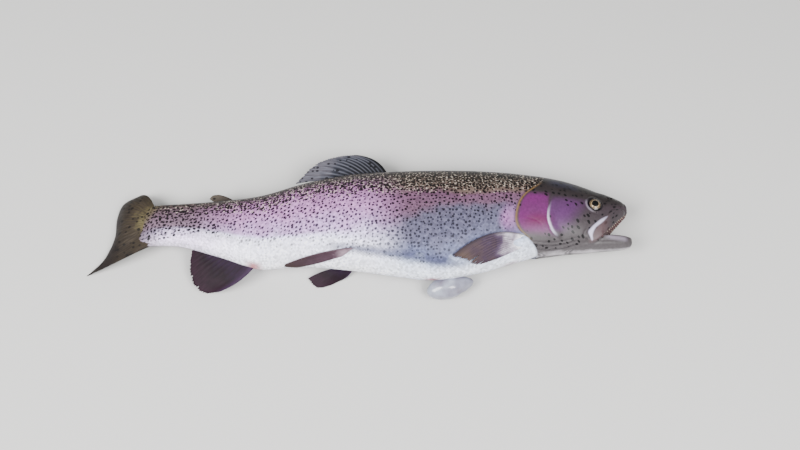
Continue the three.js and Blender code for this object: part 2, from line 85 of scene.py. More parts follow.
MOUTH_CORNER = 33.0
CORNER_ANGLE = 132.0  # of the mouth's corner and both lips round their section
ROUNDNESS = 0.93  # power of the sine that a section follows: 1 is an ellipse
WIDEST = 0.52  # how high the widest place lies between belly and back
JAW_WIDEST = 0.42  # the same between the lip and the ridge of the upper jaw
SNOUT_SINK = 0.1  # how far the snout droops towards the ground, per mm of its length
SOFT_GROUND = 1.6  # what would sink this far into the ground is pressed flat
THINNEST = 0.3  # half the thickness that no section of the body goes under
THINNEST_JAW = 0.2

# Heights of back and belly over the axis, half the width, and the height of
# the middle plane over the ground. Past the tail's root the flesh thins out
# to a wedge between the rays of the tail fin.
BODY = {
    "at": (33, 47, 68, 89, 115, 157, 210, 241, 294, 346, 386, 430, 472, 504, 513, 522),
    "back": (38, 43, 49, 53, 56.5, 59.5, 60.4, 59.9, 56.8, 46.4, 34, 28.5, 26, 24.5, 24, 22),
    "belly": (-29.5, -31, -32.5, -35.5, -41, -54.5, -63, -59.5, -51.5, -47.5, -50, -36,
              -23.5, -23, -22.5, -20),
    "half": (19, 23, 27.5, 30, 31.5, 33, 33, 32, 29, 24.5, 20.5, 15, 10.5, 6.5, 3.4, 0.3),
    "middle": (27, 27.5, 28.5, 29.3, 30.3, 31.5, 31.5, 31, 30, 28.5, 27.5, 26, 25, 24,
               22.4, 19.6),
}
UPPER_JAW = {
    "at": (0, 1, 5, 12, 22, 33),
    "ridge": (19, 22.5, 27, 30.8, 34.8, 38),
    "lip": (16, 14, 9.5, 2.5, -8, -18),
    "half": (0.6, 4.8, 9.2, 12.8, 16.2, 19),
}
LOWER_JAW = {
    "at": (-1.5, 0, 5, 16, 33),
    "lip": (-18.5, -17, -16.2, -16.4, -18),
    "under": (-20, -22.5, -25.6, -27.7, -29.5),
    "half": (0.5, 4.5, 8.4, 11.8, 14.4),
}
MOUTH = {
    "at": (-1.5, 0, 5, 16, 33, 38, 50, 66),
    "roof": (16, 16, 12.5, 9.5, 4, 2.5, -2, -8),
    "floor": (-18.5, -18.2, -19.5, -22.5, -24, -23.5, -21.5, -17),
    "side": (-18, -18, -18, -18, -18, -17, -14.5, -12.5),
    "half": (14.4, 14.4, 14.4, 14.4, 14.4, 11.5, 9, 4.5),
}

# Lines and outlines on the side of the head, as (at, height): the gill cover's edge
# from the back down, the ridge of bone in front of the cover, the seam below it, the
# maxilla, the pale streak on that, which is a painted highlight, and the bulge of the cheek.
GILL_EDGE = ((82, 60), (88, 48), (95, 36), (103, 28.5), (113, 19.5), (120, 9), (124, -5),
             (123.5, -14), (119, -21), (108, -29), (101, -36), (97, -42))
PREOPERCLE = ((82, 23), (85, 15), (89, 4), (90.5, -5), (89, -12.5), (85, -20), (76, -26))
SUBOPERCLE = ((118, -6), (104, -9), (98, -13), (96, -17), (95, -22))
MAXILLA = ((5, 12.5), (10, 14), (20, 11), (28, 2), (40, -8), (49, -15.5), (51.5, -22),
           (47, -26), (40, -24.5), (33, -19.5), (26, -14), (14, -2), (6, 6))
MAXILLA_HIGHLIGHT = ((26.5, 1.8), (34.4, -2.7), (44.7, -12), (48.4, -17.3), (47, -21), (44.7, -24.8),
          (43.4, -23.8), (43.6, -18.5), (40.2, -12.4), (32.8, -6.2))
CHEEK = ((46, 6), (56, 2), (66, -4), (70, -14), (64, -22), (56, -22), (50, -12), (44, -3))
GILL_OPENS = (34, 62)  # angles between which the gill cover's edge comes free
SLAT_PITCH = 2.6  # between the rays under the gill covers

USUAL_PITCH = 2.9  # between neighbouring scales

EYE_AT = 39.0
EYE_HEIGHT = 14.2
EYE_SIDE = 14.4  # from the middle plane to the middle of the eyeball
EYE_RADIUS = 8.2
NOSTRILS = ((18.5, 26.5), (22.5, 26))


def size_at(table, name, at):
    """Smooth value of one named size at each place, through the rows of a table."""
    places = np.array(table["at"], float)
    values = np.array(table[name], float)
    span = np.diff(places)
    slope = np.diff(values) / span
    inner = (slope[:-1] * span[1:] + slope[1:] * span[:-1]) / (span[:-1] + span[1:])
    tangent = np.concatenate(([slope[0]], inner, [slope[-1]]))
    x = np.clip(at, places[0], places[-1])
    i = np.clip(np.searchsorted(places, x, side="right") - 1, 0, len(span) - 1)
    t = (x - places[i]) / span[i]
    s = 1 - t
    return ((1 + 2 * t) * s * s * values[i] + t * s * s * span[i] * tangent[i]
            + t * t * (3 - 2 * t) * values[i + 1] - t * t * s * span[i] * tangent[i + 1])


def smooth(value, low, high):
    """0 below low, 1 above high and a soft step between."""
    t = np.clip((value - low) / (high - low), 0, 1)
    return t * t * (3 - 2 * t)


def fade(value, low, high):
    """1 below low, 0 above high and a soft step between."""
    return 1 - smooth(value, low, high)


def bump(value, centre, width):
    """A soft hump, 1 at its centre and gone a width away on either side."""
    return fade(np.abs(value - centre), 0, width)


def full_sine(angle):
    """A sine whose waves are a little fuller, for sections fuller than an ellipse."""
    return np.sign(np.sin(angle)) * np.abs(np.sin(angle)) ** ROUNDNESS


def middle_at(at):
    """Height of the middle plane over the ground."""
    return size_at(BODY, "middle", at) - SNOUT_SINK * np.maximum(MOUTH_CORNER - at, 0)


def on_body(at, degrees, lift=0.0):
    """Height and distance to the right, on the flesh behind the mouth's corner."""
    angle = np.radians(degrees)
    back = size_at(BODY, "back", at) + lift
    belly = size_at(BODY, "belly", at) - lift
    widest = belly + WIDEST * (back - belly)
    reach = np.where(np.cos(angle) > 0, back - widest, widest - belly)
    half = np.maximum(size_at(BODY, "half", at) + lift, THINNEST)
    return widest + reach * np.cos(angle), half * full_sine(angle)


def on_upper_jaw(at, degrees, lift=0.0):
    """The same on the outside of the upper jaw."""
    angle = np.radians(degrees)
    ridge = size_at(UPPER_JAW, "ridge", at) + lift
    lip = size_at(UPPER_JAW, "lip", at)
    widest = lip + JAW_WIDEST * (ridge - lip)
    to_lip = (widest - lip) / -math.cos(math.radians(CORNER_ANGLE))
    reach = np.where(np.cos(angle) > 0, ridge - widest, to_lip)
    half = np.maximum(size_at(UPPER_JAW, "half", at) + lift, THINNEST_JAW)
    return widest + reach * np.cos(angle), half * full_sine(angle)


def on_lower_jaw(at, degrees, lift=0.0):
    """The same on the outside of the lower jaw, from lip to underside."""
    angle = np.radians(degrees)
    corner = math.radians(CORNER_ANGLE)
    down = (math.cos(corner) - np.cos(angle)) / (math.cos(corner) + 1)
    lip = size_at(LOWER_JAW, "lip", at)
    under = size_at(LOWER_JAW, "under", at) - lift
    out = full_sine(angle) / full_sine(corner)
    return lip + (under - lip) * down, (size_at(LOWER_JAW, "half", at) + lift) * out


def to_frame(at, height, over_ground):
    """Places in the frame, in metres. What would sink into the ground is pressed flat."""
    pressed = np.maximum(over_ground + SOFT_GROUND, 0) ** 2 / (4 * SOFT_GROUND)
    up = np.where(over_ground > SOFT_GROUND, over_ground, pressed)
    at, height, up = np.broadcast_arrays(at, height, up)
    return np.stack([SNOUT_X - at, AXIS_Y + height, up], axis=-1) * MM


# ---- Lines and outlines on the side of the head ------------------------------

def rounded(points, closed, steps=8):
    """A smooth line through a few points."""
    knots = np.array(points, float)
    if closed:
        knots = np.concatenate((knots[-1:], knots, knots[:2]))
    else:
        ends = 2 * knots[0] - knots[1], 2 * knots[-1] - knots[-2]
        knots = np.concatenate(([ends[0]], knots, [ends[1]]))
    t = (np.arange(steps) / steps)[:, None]
    runs = []
    for p, q, r, s in zip(knots, knots[1:], knots[2:], knots[3:]):
        runs.append(0.5 * (2 * q + (r - p) * t + (2 * p - 5 * q + 4 * r - s) * t ** 2
                           + (3 * q - p - 3 * r + s) * t ** 3))
    line = np.concatenate(runs)
    return line if closed else np.concatenate((line, knots[-2:-1]))


def from_line(at, height, line):
    """Signed distance to a line (positive on its left, going along it) and the share
    of the line passed at the nearest point."""
    shape = np.shape(at)
    p = np.stack([np.ravel(at), np.ravel(height)], axis=-1)[:, None, :]
    start, step = line[:-1], np.diff(line, axis=0)
    share = np.clip(((p - start) * step).sum(-1) / (step ** 2).sum(-1), 0, 1)
    away = p - start - share[..., None] * step
    distance = np.hypot(away[..., 0], away[..., 1])
    nearest = distance.argmin(1)
    rows = np.arange(len(nearest))
    turn = step[nearest, 0] * away[rows, nearest, 1] - step[nearest, 1] * away[rows, nearest, 0]
    passed = (nearest + share[rows, nearest]) / len(step)
    return ((distance[rows, nearest] * np.sign(turn)).reshape(shape), passed.reshape(shape))


def depth_inside(at, height, outline):
    """How deep a place lies inside a closed outline; negative outside it."""
    line = rounded(outline, closed=True)
    line = np.concatenate((line, line[:1]))
    distance = np.abs(from_line(at, height, line)[0])
    x, y = np.asarray(at)[..., None], np.asarray(height)[..., None]
    (x0, y0), (x1, y1) = line[:-1].T, line[1:].T
    crosses = (y0 > y) != (y1 > y)
    rise = np.where(y1 == y0, 1, y1 - y0)
    hits = crosses & (x < x0 + (y - y0) / rise * (x1 - x0))
    return np.where(hits.sum(-1) % 2 == 1, distance, -distance)


def gill_edge_at(degrees):
    """How far behind the snout the gill cover's edge is, at each angle."""
    line = rounded(GILL_EDGE, closed=False)
    at, height = line[:, 0], line[:, 1]
    back, belly = size_at(BODY, "back", at), size_at(BODY, "belly", at)
    widest = belly + WIDEST * (back - belly)
    reach = np.where(height > widest, back - widest, widest - belly)
    angles = np.degrees(np.arccos(np.clip((height - widest) / reach, -1, 1)))
    return np.interp(np.abs(degrees), angles, at)


def folded(degrees):
    """The angle as its distance from the back's ridge, the same on both flanks."""
    turn = np.mod(degrees, 360)
    return np.minimum(turn, 360 - turn)


# ---- Relief of the skin ------------------------------------------------------

def head_relief(at, height):
    """How far the bones and folds of the head stand out of it or sink, in mm."""
    # The maxilla stands out as a strap with a groove round it and a thicker edge.
    strap = depth_inside(at, height, MAXILLA)
    lift = 1.3 * smooth(strap, -0.2, 1.7) - 0.35 * bump(strap, -1.4, 1.8)
    lift += 0.3 * bump(strap, 2.2, 1.4)

    # The bone in front of the gill cover rises to a ridge and drops off behind it.
    behind, along = from_line(at, height, rounded(PREOPERCLE, closed=False))
    ends = smooth(along, 0.02, 0.2) * fade(along, 0.9, 1)
    lift += ends * smooth(behind, -9, -0.9) * fade(behind, -0.6, 0.9)
    lift -= ends * 0.35 * bump(behind, 1.4, 1.6)

    # A fine seam parts the gill cover's large bone from the one below.
    above, along = from_line(at, height, rounded(SUBOPERCLE, closed=False))
    ends = smooth(along, 0.02, 0.15) * fade(along, 0.88, 1)
    lift -= ends * 0.18 * bump(above, 0, 1.4)

    # The cheek bulges, and the eye has a raised rim with a shallow ring round it.
    lift += 0.45 * smooth(depth_inside(at, height, CHEEK), -3, 4)
    eye = from_eye(at, height)
    lift += 0.6 * bump(eye, 8.3, 1.9) - 0.25 * bump(eye, 11, 2.6)
    for place in NOSTRILS:
        hole = np.hypot(at - place[0], height - place[1])
        lift += 0.35 * bump(hole, 1.7, 0.9) - 1.5 * fade(hole, 0.3, 1.2)

    # The rays under the gill covers lie over each other like slats.
    slat, under = slats(at, height)
    lift += 0.8 * under * (np.mod(slat, SLAT_PITCH) / SLAT_PITCH - 0.5)

    # A groove parts the jaw's bone from the throat.
    groove = height + 20.5 + 0.115 * at
    lift -= 0.45 * bump(groove, 0, 1.6) * smooth(at, 4, 12) * fade(at, 52, 60)
    return lift


def slats(at, height):
    """The rays under the gill covers: a rising count of mm across them, and how far
    they show."""
    slat = -height - 24.5 - 0.13 * (at - 60) + 0.004 * (at - 84) ** 2
    return slat, smooth(slat, -1, 1.5) * smooth(at, 58, 66) * fade(slat, 11, 16)


def from_eye(at, height):
    """Distance from the middle of the eye, seen from the side."""
    return np.hypot(at - EYE_AT, height - EYE_HEIGHT)


def eye_hollow(at, height):
    """The skin dips behind the eyeball where the eye shows, in mm."""
    return -7 * fade(from_eye(at, height), 6.5, 7.6)


def coat_share(at, degrees):
    """1 where scales cover the skin and 0 on the bare head."""
    return smooth(at - gill_edge_at(folded(degrees)), 3, 12)


# The hollow along the slack belly, as angles round the body.
HOLLOW_AT = (150, 171, 221, 261, 297, 330)
HOLLOW = (162, 156, 143, 140, 138, 134)
HOLLOW_WIDTH = 12


def flank_relief(at, degrees):
    """Hollow of the slack belly, swell of the shoulder and the fine lateral line."""
    round_ = folded(degrees)
    hollow_line = np.interp(at, HOLLOW_AT, HOLLOW)
    hollow = np.exp(-((round_ - hollow_line) / HOLLOW_WIDTH) ** 2) * smooth(at, 150, 200) \
        * fade(at, 300, 345)
    lateral = bump(round_, 88, 2.2) * smooth(at, 126, 134)
    shoulder = np.exp(-((at - 112) / 15) ** 2 - ((round_ - 146) / 12) ** 2)
    return 1.6 * shoulder - 1.1 * hollow - 0.12 * lateral


def flap_sink(at, degrees):
    """The body lies lower behind the gill cover's edge, which stands over it."""
    round_ = folded(degrees)
    behind = at - gill_edge_at(round_)
    return -2.0 * smooth(round_, *GILL_OPENS) * fade(behind, 0, 15)


# ---- Markings ----------------------------------------------------------------

# Where one colour gives way to the next, as angles round the body: the rosy band's top
# and end, the top of the white belly, and the end of the spots.
BAND_AT = (60, 120, 160, 200, 241, 292, 345, 397, 450, 500)
ROSE_TOP = (70, 72, 75, 67, 67, 68, 60, 56, 66, 74)
ROSE_END = (90, 92, 91, 90, 107, 114, 117, 110, 106, 104)
WHITE_TOP = (138, 130, 134, 147, 138, 132, 126, 118, 113, 118)
SPOTS_END = (96, 116, 130, 149, 147, 145, 138, 126, 120, 168)

# The masks that colours are mixed by, three to a vector that meshes carry by name.
MASKS = {
    "rosy": ("rosy", "crimson", "purple"),
    "lines": ("rim", "ridge_highlight", "streak"),
    "small": ("lip", "crescent", "gaps"),
    "ends": ("tailward", "raw", "shade"),
    "plain": ("head", "stump", "crown_sheen"),
    "deep": ("socket", "inside", "shoulder"),
    "place": ("at", "arc", "zone"),
    "spotting": ("flank", "back", "tail"),
}


def girdle(at, degrees):
    """Place between back (0), rosy band (0.4 to 0.6), white line (0.8) and belly (1)."""
    round_ = folded(degrees)
    top = np.interp(at, BAND_AT, ROSE_TOP)
    end = np.interp(at, BAND_AT, ROSE_END)
    white = np.interp(at, BAND_AT, WHITE_TOP)
    share = 0.4 * np.clip(round_ / top, 0, 1)
    for low, high in ((top, end), (end, white), (white, 180)):
        share += 0.2 * np.clip((round_ - low) / (high - low), 0, 1)
    return share


def arc_at(at, degrees):
    """Distance from the back's ridge round the body, as on an ellipse, in mm."""
    half = size_at(BODY, "half", at)
    deep = (size_at(BODY, "back", at) - size_at(BODY, "belly", at)) / 2
    uneven = (deep ** 2 - half ** 2) / (half ** 2 + deep ** 2)
    turn = np.radians(degrees)
    return (turn - uneven / 4 * np.sin(2 * turn)) * np.sqrt((half ** 2 + deep ** 2) / 2)


def depth_near(near, at, height, outline):
    """How deep places lie inside an outline, worked out only near it."""
    at, height = at + 0 * height, height + 0 * at
    depth = np.full(at.shape, -9.0)
    if near.any():
        depth[near] = depth_inside(at[near], height[near], outline)
    return depth


def markings(at, degrees, height, inside=0.0):
    """The vectors of masks, as MASKS names them, at places on the skin."""
    round_ = folded(degrees)
    side = np.where(np.mod(degrees, 360) > 180, -1.0, 1.0)
    edge = gill_edge_at(round_)
    eye = from_eye(at, height)
    behind, along = from_line(at, height, rounded(PREOPERCLE, closed=False))

    # The head ends at the gill cover's edge, and fades into the nape over the back.
    nape = 1 + 9 * fade(round_, 28, 52)
    head = fade((at - edge) / nape, -0.6, 1.2)

    # Behind the ridge of bone the gill cover is rosy, and the cheek before it purple.
    # Over the end of the ridge the two colours run into each other.
    across = behind / (1 + 6 * fade(along, 0.05, 0.35))
    cover = head * smooth(edge - at, 1.5, 5) * smooth(across, 0.2, 1.4)
    rosy = cover * fade(height, 16, 25) * smooth(height, -26, -17)
    crimson = head * bump(height + 2 * smooth(at, 100, 115), -9, 11) * bump(at, 101, 22)
    purple = head * fade(across, -0.6, 0.6) * smooth(at + 0.7 * height, 48, 74) \
        * fade(height, 10, 21) * smooth(height, -24, -15)
    # A bluish sheen is painted on the top of the head behind the eye.
    crown_sheen = head * bump(round_, 47, 19) * smooth(at, 50, 62) * fade(at, 76, 92)
    shoulder = (1 - head) * bump(at - edge, 5, 12) * bump(round_, 108, 26)

    # Lines: the gold rim, a pale highlight painted along the ridge of bone, and the streak and lip
    # of the maxilla, which are looked for only near it. The streak is a painted highlight as well.
    rim = bump(at - edge, -0.8, 2.0) * fade(height, 26, 40) * fade(round_, 118, 150)
    ridge_highlight = smooth(behind, -3.0, 0.2) ** 2 * fade(behind, 0.3, 1.0) \
        * smooth(along, 0.2, 0.55) * fade(along, 0.8, 0.95)
    near = (at + 0 * height) < 60
    streak = smooth(depth_near(near, at, height, MAXILLA_HIGHLIGHT), -0.7, 1.1)
    lip = smooth(depth_near(near, at, height, MAXILLA), -0.3, 1.0) * (1 - streak) \
        * smooth(at, 20, 34) * fade(at + 0.62 * height, 30.5, 33)

    # Round the eye: its dark socket and a pale crescent behind. The lower jaw's gum is
    # as pale, and the gaps between the rays under the gill covers are dark.
    socket = smooth(eye, 6.0, 6.8) * fade(eye, 7.4, 9.4)
    crescent = bump(eye, 9.0, 2.2) * smooth(at - EYE_AT, 1, 6) * fade(height, 15, 21)
    gum = bump(height, -19, 3.5) * smooth(at, 3, 9) * fade(at, 24, 32)
    slat, under = slats(at, height)
    gaps = head * under * bump(np.mod(slat, SLAT_PITCH), 0.35, 0.8)

    # The belly's shaded hollow, the tail's dark root, and raw red at vent and belly.
    hollow_line = np.interp(at, HOLLOW_AT, HOLLOW)
    shade = bump(round_, hollow_line, HOLLOW_WIDTH) * smooth(at, 150, 195) * fade(at, 285, 330)
    tailward = np.maximum(smooth(at + 0.57 * height, 500, 512), smooth(at, 506, 517))
    stump = smooth(at, 482, 506) * smooth(round_, 84, 120)
    vent = bump(at, 388, 13) * smooth(round_, 152, 168)
    slit = (bump(at, 205, 13) + 0.5 * bump(at, 124, 14)) * bump(np.mod(degrees, 360), 187, 14)

    # Where spots may be: fewer down the flank, many on the back and on the tail's stalk,
    # and some on the head, but none on its coloured patches, jaw and eye.
    spots_end = np.interp(at, BAND_AT, SPOTS_END)
    sparse = smooth(round_, spots_end - 26, spots_end - 2)
    flank = (1 - head) * (1 - sparse * 0.6) * fade(round_, spots_end - 1, spots_end + 3)
    back = (1 - head) * fade(round_, 60, 80) * (1 - 0.6 * smooth(at, 400, 440)) \
        * fade(at, 484, 500)
    tail = smooth(at, 400, 440) * fade(round_, spots_end - 14, spots_end + 2)
    jaw = smooth(-height + 0.2 * (MOUTH_CORNER - at), 19, 27) * head
    cheeks = head * (1 - np.maximum(rosy, purple * 0.8)) * fade(jaw, 0.2, 0.7) \
        * smooth(eye, 8, 9) * (1 - smooth(height, 30, 42) * 0.4) * smooth(at, 5, 12)

    return {
        "rosy": (rosy, crimson, purple),
        "lines": (rim, ridge_highlight, streak),
        "small": (lip, np.maximum(crescent, gum), gaps),
        "ends": (tailward, np.maximum(vent, slit), shade),
        "plain": (head, stump, crown_sheen),
        "deep": (socket, np.zeros_like(head) + inside, shoulder),
        "place": (at + 0 * head, side * np.abs(arc_at(at, round_)), girdle(at, degrees)),
        "spotting": (np.maximum(flank, cheeks * 0.8), back, tail),
    }


# ---- Colours and sizes a user may change -------------------------------------

def linear(hex_colour):
    """An sRGB hex colour as the linear values that shaders use."""
    values = [int(hex_colour[i:i + 2], 16) / 255 for i in (0, 2, 4)]
    return tuple(v / 12.92 if v <= 0.04045 else ((v + 0.055) / 1.055) ** 2.4 for v in values)


def colour_property(name, description, hex_colour):
    """A colour that the sidebar shows, from its sRGB hex value."""
    return FloatVectorProperty(name=name, description=description, default=linear(hex_colour),
                               subtype="COLOR", size=3, min=0, max=1)


def size_property(name, description, least, usual, most):
    """A size that the sidebar shows as a distance, from its values in millimetres."""
    return FloatProperty(name=name, description=description, default=usual * MM,
                         min=least * MM, max=most * MM, subtype="DISTANCE", precision=5)


class TroutSizes(bpy.types.PropertyGroup):
    """Sizes of the details."""

    scale_pitch: size_property("Scale pitch", "Distance between neighbouring scales",
                               1.5, USUAL_PITCH, 6)
    scale_depth: size_property("Scale depth", "How far the scales stand over the skin",
                               0.2, 0.45, 1)
    iris: size_property("Iris", "Radius of the coloured ring of the eye", 3, 6.1, 8)
    pupil: size_property("Pupil", "Radius of the pupil", 1, 3.5, 5)
    tooth: size_property("Tooth", "How far a tooth stands out of the gum", 0.5, 0.8, 4)
    ray_ridge: size_property("Ray ridge", "How far a fin's rays stand over its web",
                             0, 0.24, 0.6)


class TroutColours(bpy.types.PropertyGroup):
    """Colours of the markings."""

    rosy: colour_property("Gill cover", "Rosy patch on the gill cover", "60225A")
    crimson: colour_property("Crimson", "Blood-red heart of the gill cover", "580B34")
    purple: colour_property("Cheek", "Purple in front of the gill cover", "512A58")
    gold: colour_property("Gold edge", "Thin edge of the gill cover", "86683E")
    spot: colour_property("Spots", "The black spots", "0B090B")
    sparkle: colour_property("Flecks", "Cream flecks between the spots of the back", "C6BAAC")
    floor: colour_property("Floor", "The plain floor", "C4C3C1")


def chosen(name):
    """A size from the sidebar, in millimetres."""
    return getattr(bpy.context.scene.trout_sizes, name) / MM


# ---- Making meshes -----------------------------------------------------------

WELD_GAP = 0.002 * MM  # points closer than this are one
FACE_OUTWARDS = (bpy.ops.mesh.normals_make_consistent, {"inside": False})


def select_only(*pieces):
    """Selects these objects and no others, and makes the first the active one."""
    bpy.ops.object.select_all(action="DESELECT")
    for piece in pieces:
        piece.select_set(True)
    bpy.context.view_layer.objects.active = pieces[0]


def start_with(add_primitive, **settings):
    """Adds a primitive with nothing else selected and gives back its object."""
    bpy.ops.object.select_all(action="DESELECT")
    add_primitive(**settings)
    return bpy.context.active_object


def name_piece(piece, name, material):
    """Names a piece and its mesh, and gives it its one material."""
    piece.name = name
    piece.data.name = name
    piece.data.materials.clear()
    piece.data.materials.append(material)
    return piece


def places_of(mesh):
    """The places of a mesh's points, as rows."""
    flat = np.empty(len(mesh.vertices) * 3)
    mesh.vertices.foreach_get("co", flat)
    return flat.reshape(-1, 3)


def set_marks(mesh, marks):
    """Stores named vectors on a mesh's points, for its material to read."""
    for name, parts in marks.items():
        columns = [np.ravel(part) for part in np.broadcast_arrays(*parts)]
        values = np.stack(columns, axis=-1).astype(np.float32)
        attribute = mesh.attributes.new(name, "FLOAT_VECTOR", "POINT")
        attribute.data.foreach_set("vector", values.ravel())


def set_bake_map(mesh, u, v):
    """Gives a mesh its OFBake map, from values at its points."""
    while mesh.uv_layers:
        mesh.uv_layers.remove(mesh.uv_layers[0])
    corners = np.empty(len(mesh.loops), np.int64)
    mesh.loops.foreach_get("vertex_index", corners)
    layer = mesh.uv_layers.new(name="OFBake")
    pairs = np.stack([np.ravel(u)[corners], np.ravel(v)[corners]], axis=-1)
    layer.uv.foreach_set("vector", pairs.astype(np.float32).ravel())


def bent_grid(points, marks, u, v):
    """A grid primitive bent through rows of points, with its marks and its map."""
    rows, columns = points.shape[0] - 1, points.shape[1] - 1
    sheet = start_with(bpy.ops.mesh.primitive_grid_add, x_subdivisions=columns,
                       y_subdivisions=rows, size=1, calc_uvs=False)
    flat = places_of(sheet.data)
    column = np.rint((flat[:, 0] + 0.5) * columns).astype(int)
    row = np.rint((flat[:, 1] + 0.5) * rows).astype(int)
    sheet.data.vertices.foreach_set("co", points[row, column].ravel())
    shape = points.shape[:2]
    placed = {name: [np.broadcast_to(part, shape)[row, column] for part in parts]
              for name, parts in marks.items()}
    set_marks(sheet.data, placed)
    set_bake_map(sheet.data, np.broadcast_to(u, shape)[row, column],
                 np.broadcast_to(v, shape)[row, column])
    sheet.data.update()
    return sheet


def edit_mesh(*steps):
    """Does steps of mesh editing, each (operator, settings), on all of the active mesh."""
    bpy.ops.object.mode_set(mode="EDIT")
    bpy.ops.mesh.select_all(action="SELECT")
    for operator, settings in steps:
        operator(**settings)
    bpy.ops.object.mode_set(mode="OBJECT")


def weld(sheets):
    """Joins sheets, merges the points where they meet and turns the faces outwards."""
    select_only(*sheets)
    if len(sheets) > 1:
        bpy.ops.object.join()
    edit_mesh((bpy.ops.mesh.remove_doubles, {"threshold": WELD_GAP}), FACE_OUTWARDS)
    bpy.ops.object.shade_smooth()
    return bpy.context.active_object


# ---- Nodes of the materials --------------------------------------------------

# Noise is told in waves a metre: clouds of colour about 18 mm across, and the 6 mm over
# which spots are pushed out of line. The skin's grain is well under a millimetre, too
# fine to show, so it is drawn as coarse as 2.4 mm.
CLOUD = 55.0
GRAIN = 420.0
WANDER = 160.0
SWING = 1.7  # mm from one side to the other


def node(tree, kind, inputs=None, out=0, stops=(), **settings):
    """Adds a node: its settings, the stops of a colour ramp as (position, sRGB hex), and
    each input from a value or from another node's output."""
    made = tree.nodes.new("ShaderNode" + kind)
    for name, value in settings.items():
        setattr(made, name, value)
    if stops:
        elements = made.color_ramp.elements
        while len(elements) < len(stops):
            elements.new(0.5)
        for element, (position, hex_colour) in zip(elements, stops):
            element.position = position
            element.color = (*linear(hex_colour), 1)
    for key, value in (inputs or {}).items():
        if isinstance(value, bpy.types.NodeSocket):
            tree.links.new(value, made.inputs[key])
        else:
            made.inputs[key].default_value = value
    return made.outputs[out]


def new_material(name):
    """An empty node material and its tree, with its output node."""
    material = bpy.data.materials.new(name)
    material.use_nodes = True
    tree = material.node_tree
    tree.nodes.clear()
    return material, tree, tree.nodes.new("ShaderNodeOutputMaterial")


def painted(tree, base, layers):
    """The base colour under layers of others, each (mask, strength, colour)."""
    for mask, strength, colour in layers:
        if not isinstance(colour, bpy.types.NodeSocket):
            colour = (*colour, 1)
        amount = node(tree, "Math", {0: mask, 1: strength}, operation="MULTIPLY")
        base = node(tree, "Mix", {0: amount, 6: base, 7: colour}, out=2, data_type="RGBA")
    return base


# One value from back to belly picks these colours: see girdle().
# Near black along the back's ridge, up to 0.14: the dark back with painted shade along its top
# edge. The blue-grey held up to 0.8, just over the white line, is partly the lower flank's own
# colour and partly painted shade of the belly's hollow.
TRUNK_FRONT = ((0.0, "121010"), (0.14, "181413"), (0.22, "332C28"), (0.3, "554A43"),
               (0.38, "66564F"), (0.45, "67495F"), (0.55, "664D60"), (0.63, "59566A"),
               (0.72, "5A5A72"), (0.765, "585C79"), (0.80, "575C79"), (0.835, "AEB9D4"),
               (0.9, "D8DEEE"), (1.0, "E6EAF4"))
# The pale lilac from 0.64 to 0.77 is partly the silvery flank and partly a painted highlight.
TRUNK_REAR = ((0.0, "1E1A1A"), (0.12, "2E2829"), (0.26, "54484E"), (0.38, "946690"),
              (0.5, "B482B6"), (0.58, "B896C8"), (0.64, "D0BEE8"), (0.7, "E0DAFA"),
              (0.77, "E6E4FA"), (0.85, "E6E6F6"), (1.0, "EEEEF4"))
TAIL_STALK = ((0.0, "3A3130"), (0.2, "554845"), (0.4, "66525F"), (0.6, "766272"),
              (0.75, "9A8CA8"), (0.85, "CFBEE0"), (1.0, "D4CCDE"))
HEAD = ((0.0, "0A090C"), (0.16, "100D13"), (0.3, "221D1C"), (0.42, "2E282A"),
        (0.55, "382F34"), (0.8, "3E393B"), (0.94, "4E4A4C"), (1.0, "A8A2A8"))
REAR_FROM = (228.0, 286.0)  # where the front's colours give way to the rear's
STALK_FROM = (385.0, 470.0)  # and those to the colours of the tail's stalk

# Patches under the spots and lines over them: mask, strength and sRGB hex, which is
# empty where the colour is one of TroutColours.
# The bluish patch on the crown of the head is a painted sheen, and the pale lines on the ridge
# before the gill cover and on the maxilla are painted highlights.
PATCHES = (("purple", 0.85, ""), ("rosy", 0.92, ""), ("crimson", 0.7, ""),
           ("shoulder", 0.75, "A569A6"), ("stump", 0.9, "4C3E47"),
           ("tailward", 0.92, "5A523A"), ("shade", 0.88, "3C3F5E"), ("crown_sheen", 0.4, "26284A"))
LINES = (("rim", 0.6, ""), ("ridge_highlight", 0.8, "C6BFD6"), ("streak", 0.85, "CAC2DC"),
         ("lip", 0.55, "5E484B"), ("crescent", 0.45, "948A9A"), ("gaps", 0.75, "2C282C"),
         ("raw", 0.85, "8E2C34"), ("socket", 0.9, "0E0C10"), ("inside", 1.0, "4A3436"))

# The layers of spots: the size of a grid's cell and of a spot's radius, in mm.
FLECKS = (2.8, 0.88)
FLANK_SPOTS = (4.3, 1.22)
BACK_SPOTS = (3.4, 1.4)
TAIL_SPOTS = (4.2, 1.25)
HEAD_SPOTS = (6.2, 1.65)
WEB_SPOTS = (4.6, 1.35)

SPOT_SIZES = (0.68, 1.28)  # smallest and largest, as shares of the radius
SPOT_EDGE = 0.05  # of a cell, over which a spot's edge fades
LOOSENESS = 0.76  # of the grid: at 0 it is square


